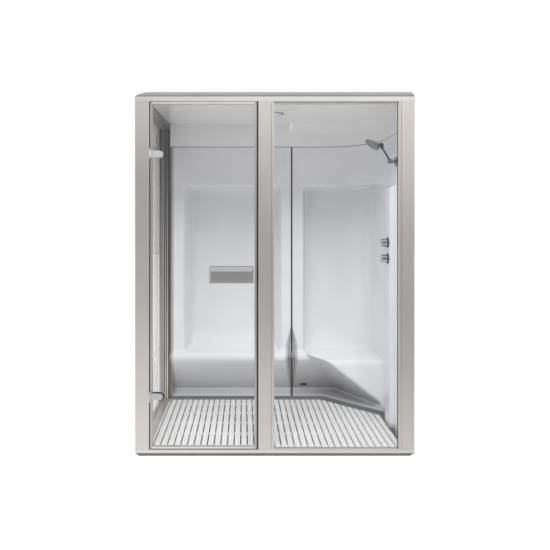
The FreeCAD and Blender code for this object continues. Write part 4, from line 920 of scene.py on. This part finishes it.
def skin(name, node, finish, thickness, seam_low=None, seam_high=None, z_low=tray_top, z_high=room_top):
    """The part of the mould's room side between planes, as a sheet with thickness.

    It stands for a node. A joint that has none gives the name of its slot instead.
    """
    rim = 0.02
    piece = mesh_piece(name, mould.data.copy())
    sides = (
        (at(room_left, 0, 0), (-1, 0, 0)), (at(block_right, 0, 0), (1, 0, 0)),
        (at(0, room_front, 0), (0, -1, 0)), (at(0, 0, z_low), (0, 0, -1)), (at(0, 0, z_high), (0, 0, 1)),
    )
    for place, outward in sides:
        trim(piece, place, outward)
    if seam_low is not None:
        trim(piece, at(joint_x + seam_low, room_back, 0), (-1, joint_lean, 0))
    if seam_high is not None:
        trim(piece, at(joint_x + seam_high, room_back, 0), (1, -joint_lean, 0))
    bpy.ops.object.mode_set(mode="EDIT")
    bpy.ops.mesh.select_mode(type="FACE")
    bpy.ops.mesh.select_all(action="DESELECT")
    shape = bmesh.from_edit_mesh(piece.data)
    for face in shape.faces:
        middle = face.calc_center_median()
        face.select_set(middle.x > block_right - rim or depth_of(middle) > block_back - rim)
    bmesh.update_edit_mesh(piece.data)
    bpy.ops.mesh.delete(type="FACE")
    bpy.ops.object.mode_set(mode="OBJECT")
    bpy.ops.object.modifier_add(type="SOLIDIFY")
    wall = piece.modifiers[-1]
    wall.thickness = thickness
    wall.offset = -1
    apply_last(piece)
    bpy.ops.object.shade_smooth_by_angle(angle=math.radians(50))
    piece.data.materials.append(finish)
    if node in nodes:
        settle(piece, node)
    else:
        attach(piece, "root")
    print(name, len(piece.data.polygons))


# %% The two mouldings and the joints between them
sheet, strip, seam = 0.005, 0.004, 0.0062
joint_low, joint_high = 0.058, room_top - 0.005
skin("left_liner", "left_wall_module", left_liner_finish, sheet, None, -seam, joint_low, joint_high)
skin("right_liner", "right_wall_module", right_liner_finish, sheet, seam, None, joint_low, joint_high)
skin(
    "liner_joint_strip", "module_joint_seal", dull_seal_finish, strip, -seam, seam,
    joint_low, joint_high,
)
# The grey seal at the liner's foot stands for a joint, and its dark grey is also painted shadow in the
# gap behind the slats.
skin("tray_joint_seal", "black_rubber", joint_seal_finish, strip, z_high=joint_low)
skin("ceiling_joint_seal", "black_rubber", joint_seal_finish, strip, z_low=joint_high)
bpy.data.objects.remove(mould)

# %% [markdown]
# The light is a plain studio. The world is an even white. It has its full strength where it is
# seen, mirrored or looked at through glass, and about half of it where it lights a matt surface.
# The floor is pale, keeps the cabin's shadow and is brightened for the camera. The darker end of
# the room stands behind the camera, where only mirrors can see it, and the satin posts show it
# as a slow change from bright ends to a grey middle.

# %% Studio
world = bpy.data.worlds.new("studio_white")
scene.world = world
world.use_nodes = True
sky = world.node_tree
sky.nodes.clear()
rays = add_node(sky, "ShaderNodeLightPath").outputs
seen = sums(sky, "MAXIMUM", rays["Is Camera Ray"], rays["Is Glossy Ray"])
seen = sums(sky, "MAXIMUM", seen, rays["Is Transmission Ray"])
fill_light = 0.54
strength = span(sky, seen, fill_light, 1.0)
glow = add_node(sky, "ShaderNodeBackground", Color=(1, 1, 1, 1), Strength=strength)
add_node(sky, "ShaderNodeOutputWorld", Surface=glow.outputs["Background"])

# %% The floor
bpy.ops.mesh.primitive_plane_add(size=40, location=(0, 0, 0))
floor = bpy.context.object
floor.name = "studio_floor"
floor_material, tree = start_material("pale_studio_floor")
matte = add_node(tree, "ShaderNodeBsdfDiffuse", Color=linear("F2F2F2")).outputs["BSDF"]
white = add_node(tree, "ShaderNodeEmission", Color=(1, 1, 1, 1), Strength=0.8).outputs["Emission"]
camera_ray = add_node(tree, "ShaderNodeLightPath").outputs["Is Camera Ray"]
bright = add_node(tree, "ShaderNodeAddShader", i0=matte, i1=white).outputs["Shader"]
mix = add_node(tree, "ShaderNodeMixShader", Fac=camera_ray, i1=matte, i2=bright)
end_material(tree, mix.outputs["Shader"])
floor.data.materials.append(floor_material)
floor.visible_glossy = False

# %% The dark end of the room
bpy.ops.mesh.primitive_plane_add(size=1, location=(0, front_y - 6.0, 1.0), rotation=upright_turn)
dark_end = bpy.context.object
dark_end.name = "studio_dark_end"
dark_end.scale = (16, 10, 1)
bpy.ops.object.transform_apply(location=True, rotation=True, scale=True)
dark_material, tree = start_material("studio_dark_end")
side_lean, shade_low, shade_high = 0.34, -4.0, 6.0
place = axes(tree)
height = sums(tree, "ADD", sums(tree, "MULTIPLY", place["X"], side_lean), place["Z"])
shade = stops(
    tree, remap(tree, height, shade_low, shade_high, 0, 1),
    (0.0, "FFFFFF"), (0.07, "F9F9F9"), (0.15, "EBEBEB"), (0.22, "DCDCDC"), (0.31, "C2C2C2"),
    (0.40, "A6A6A6"), (0.50, "9C9C9C"), (0.60, "A6A6A6"), (0.675, "B8B8B8"), (0.75, "DADADA"),
    (0.84, "F1F1F1"), (0.95, "FFFFFF"),
)
end_material(tree, add_node(tree, "ShaderNodeEmission", Color=shade).outputs["Emission"])
dark_end.data.materials.append(dark_material)
dark_end.visible_camera = False
dark_end.visible_diffuse = False
dark_end.visible_shadow = False
dark_end.visible_transmission = False

# %% The softbox high in front: two lamps in one place, of which mirrors see the weaker
for name, watts, mirrored in (("high_softbox", 140, False), ("high_softbox_sheen", 50, True)):
    bpy.ops.object.light_add(type="AREA", location=(-0.2, front_y - 2.2, 4.4))
    softbox = bpy.context.object
    softbox.name = name
    softbox.data.shape = "RECTANGLE"
    softbox.data.size = 3.2
    softbox.data.size_y = 1.8
    softbox.data.energy = watts
    softbox.visible_glossy = mirrored
    aim = Vector((0.0, front_y + 0.9, 0.5)) - softbox.location
    softbox.rotation_euler = aim.to_track_quat("-Z", "Y").to_euler()
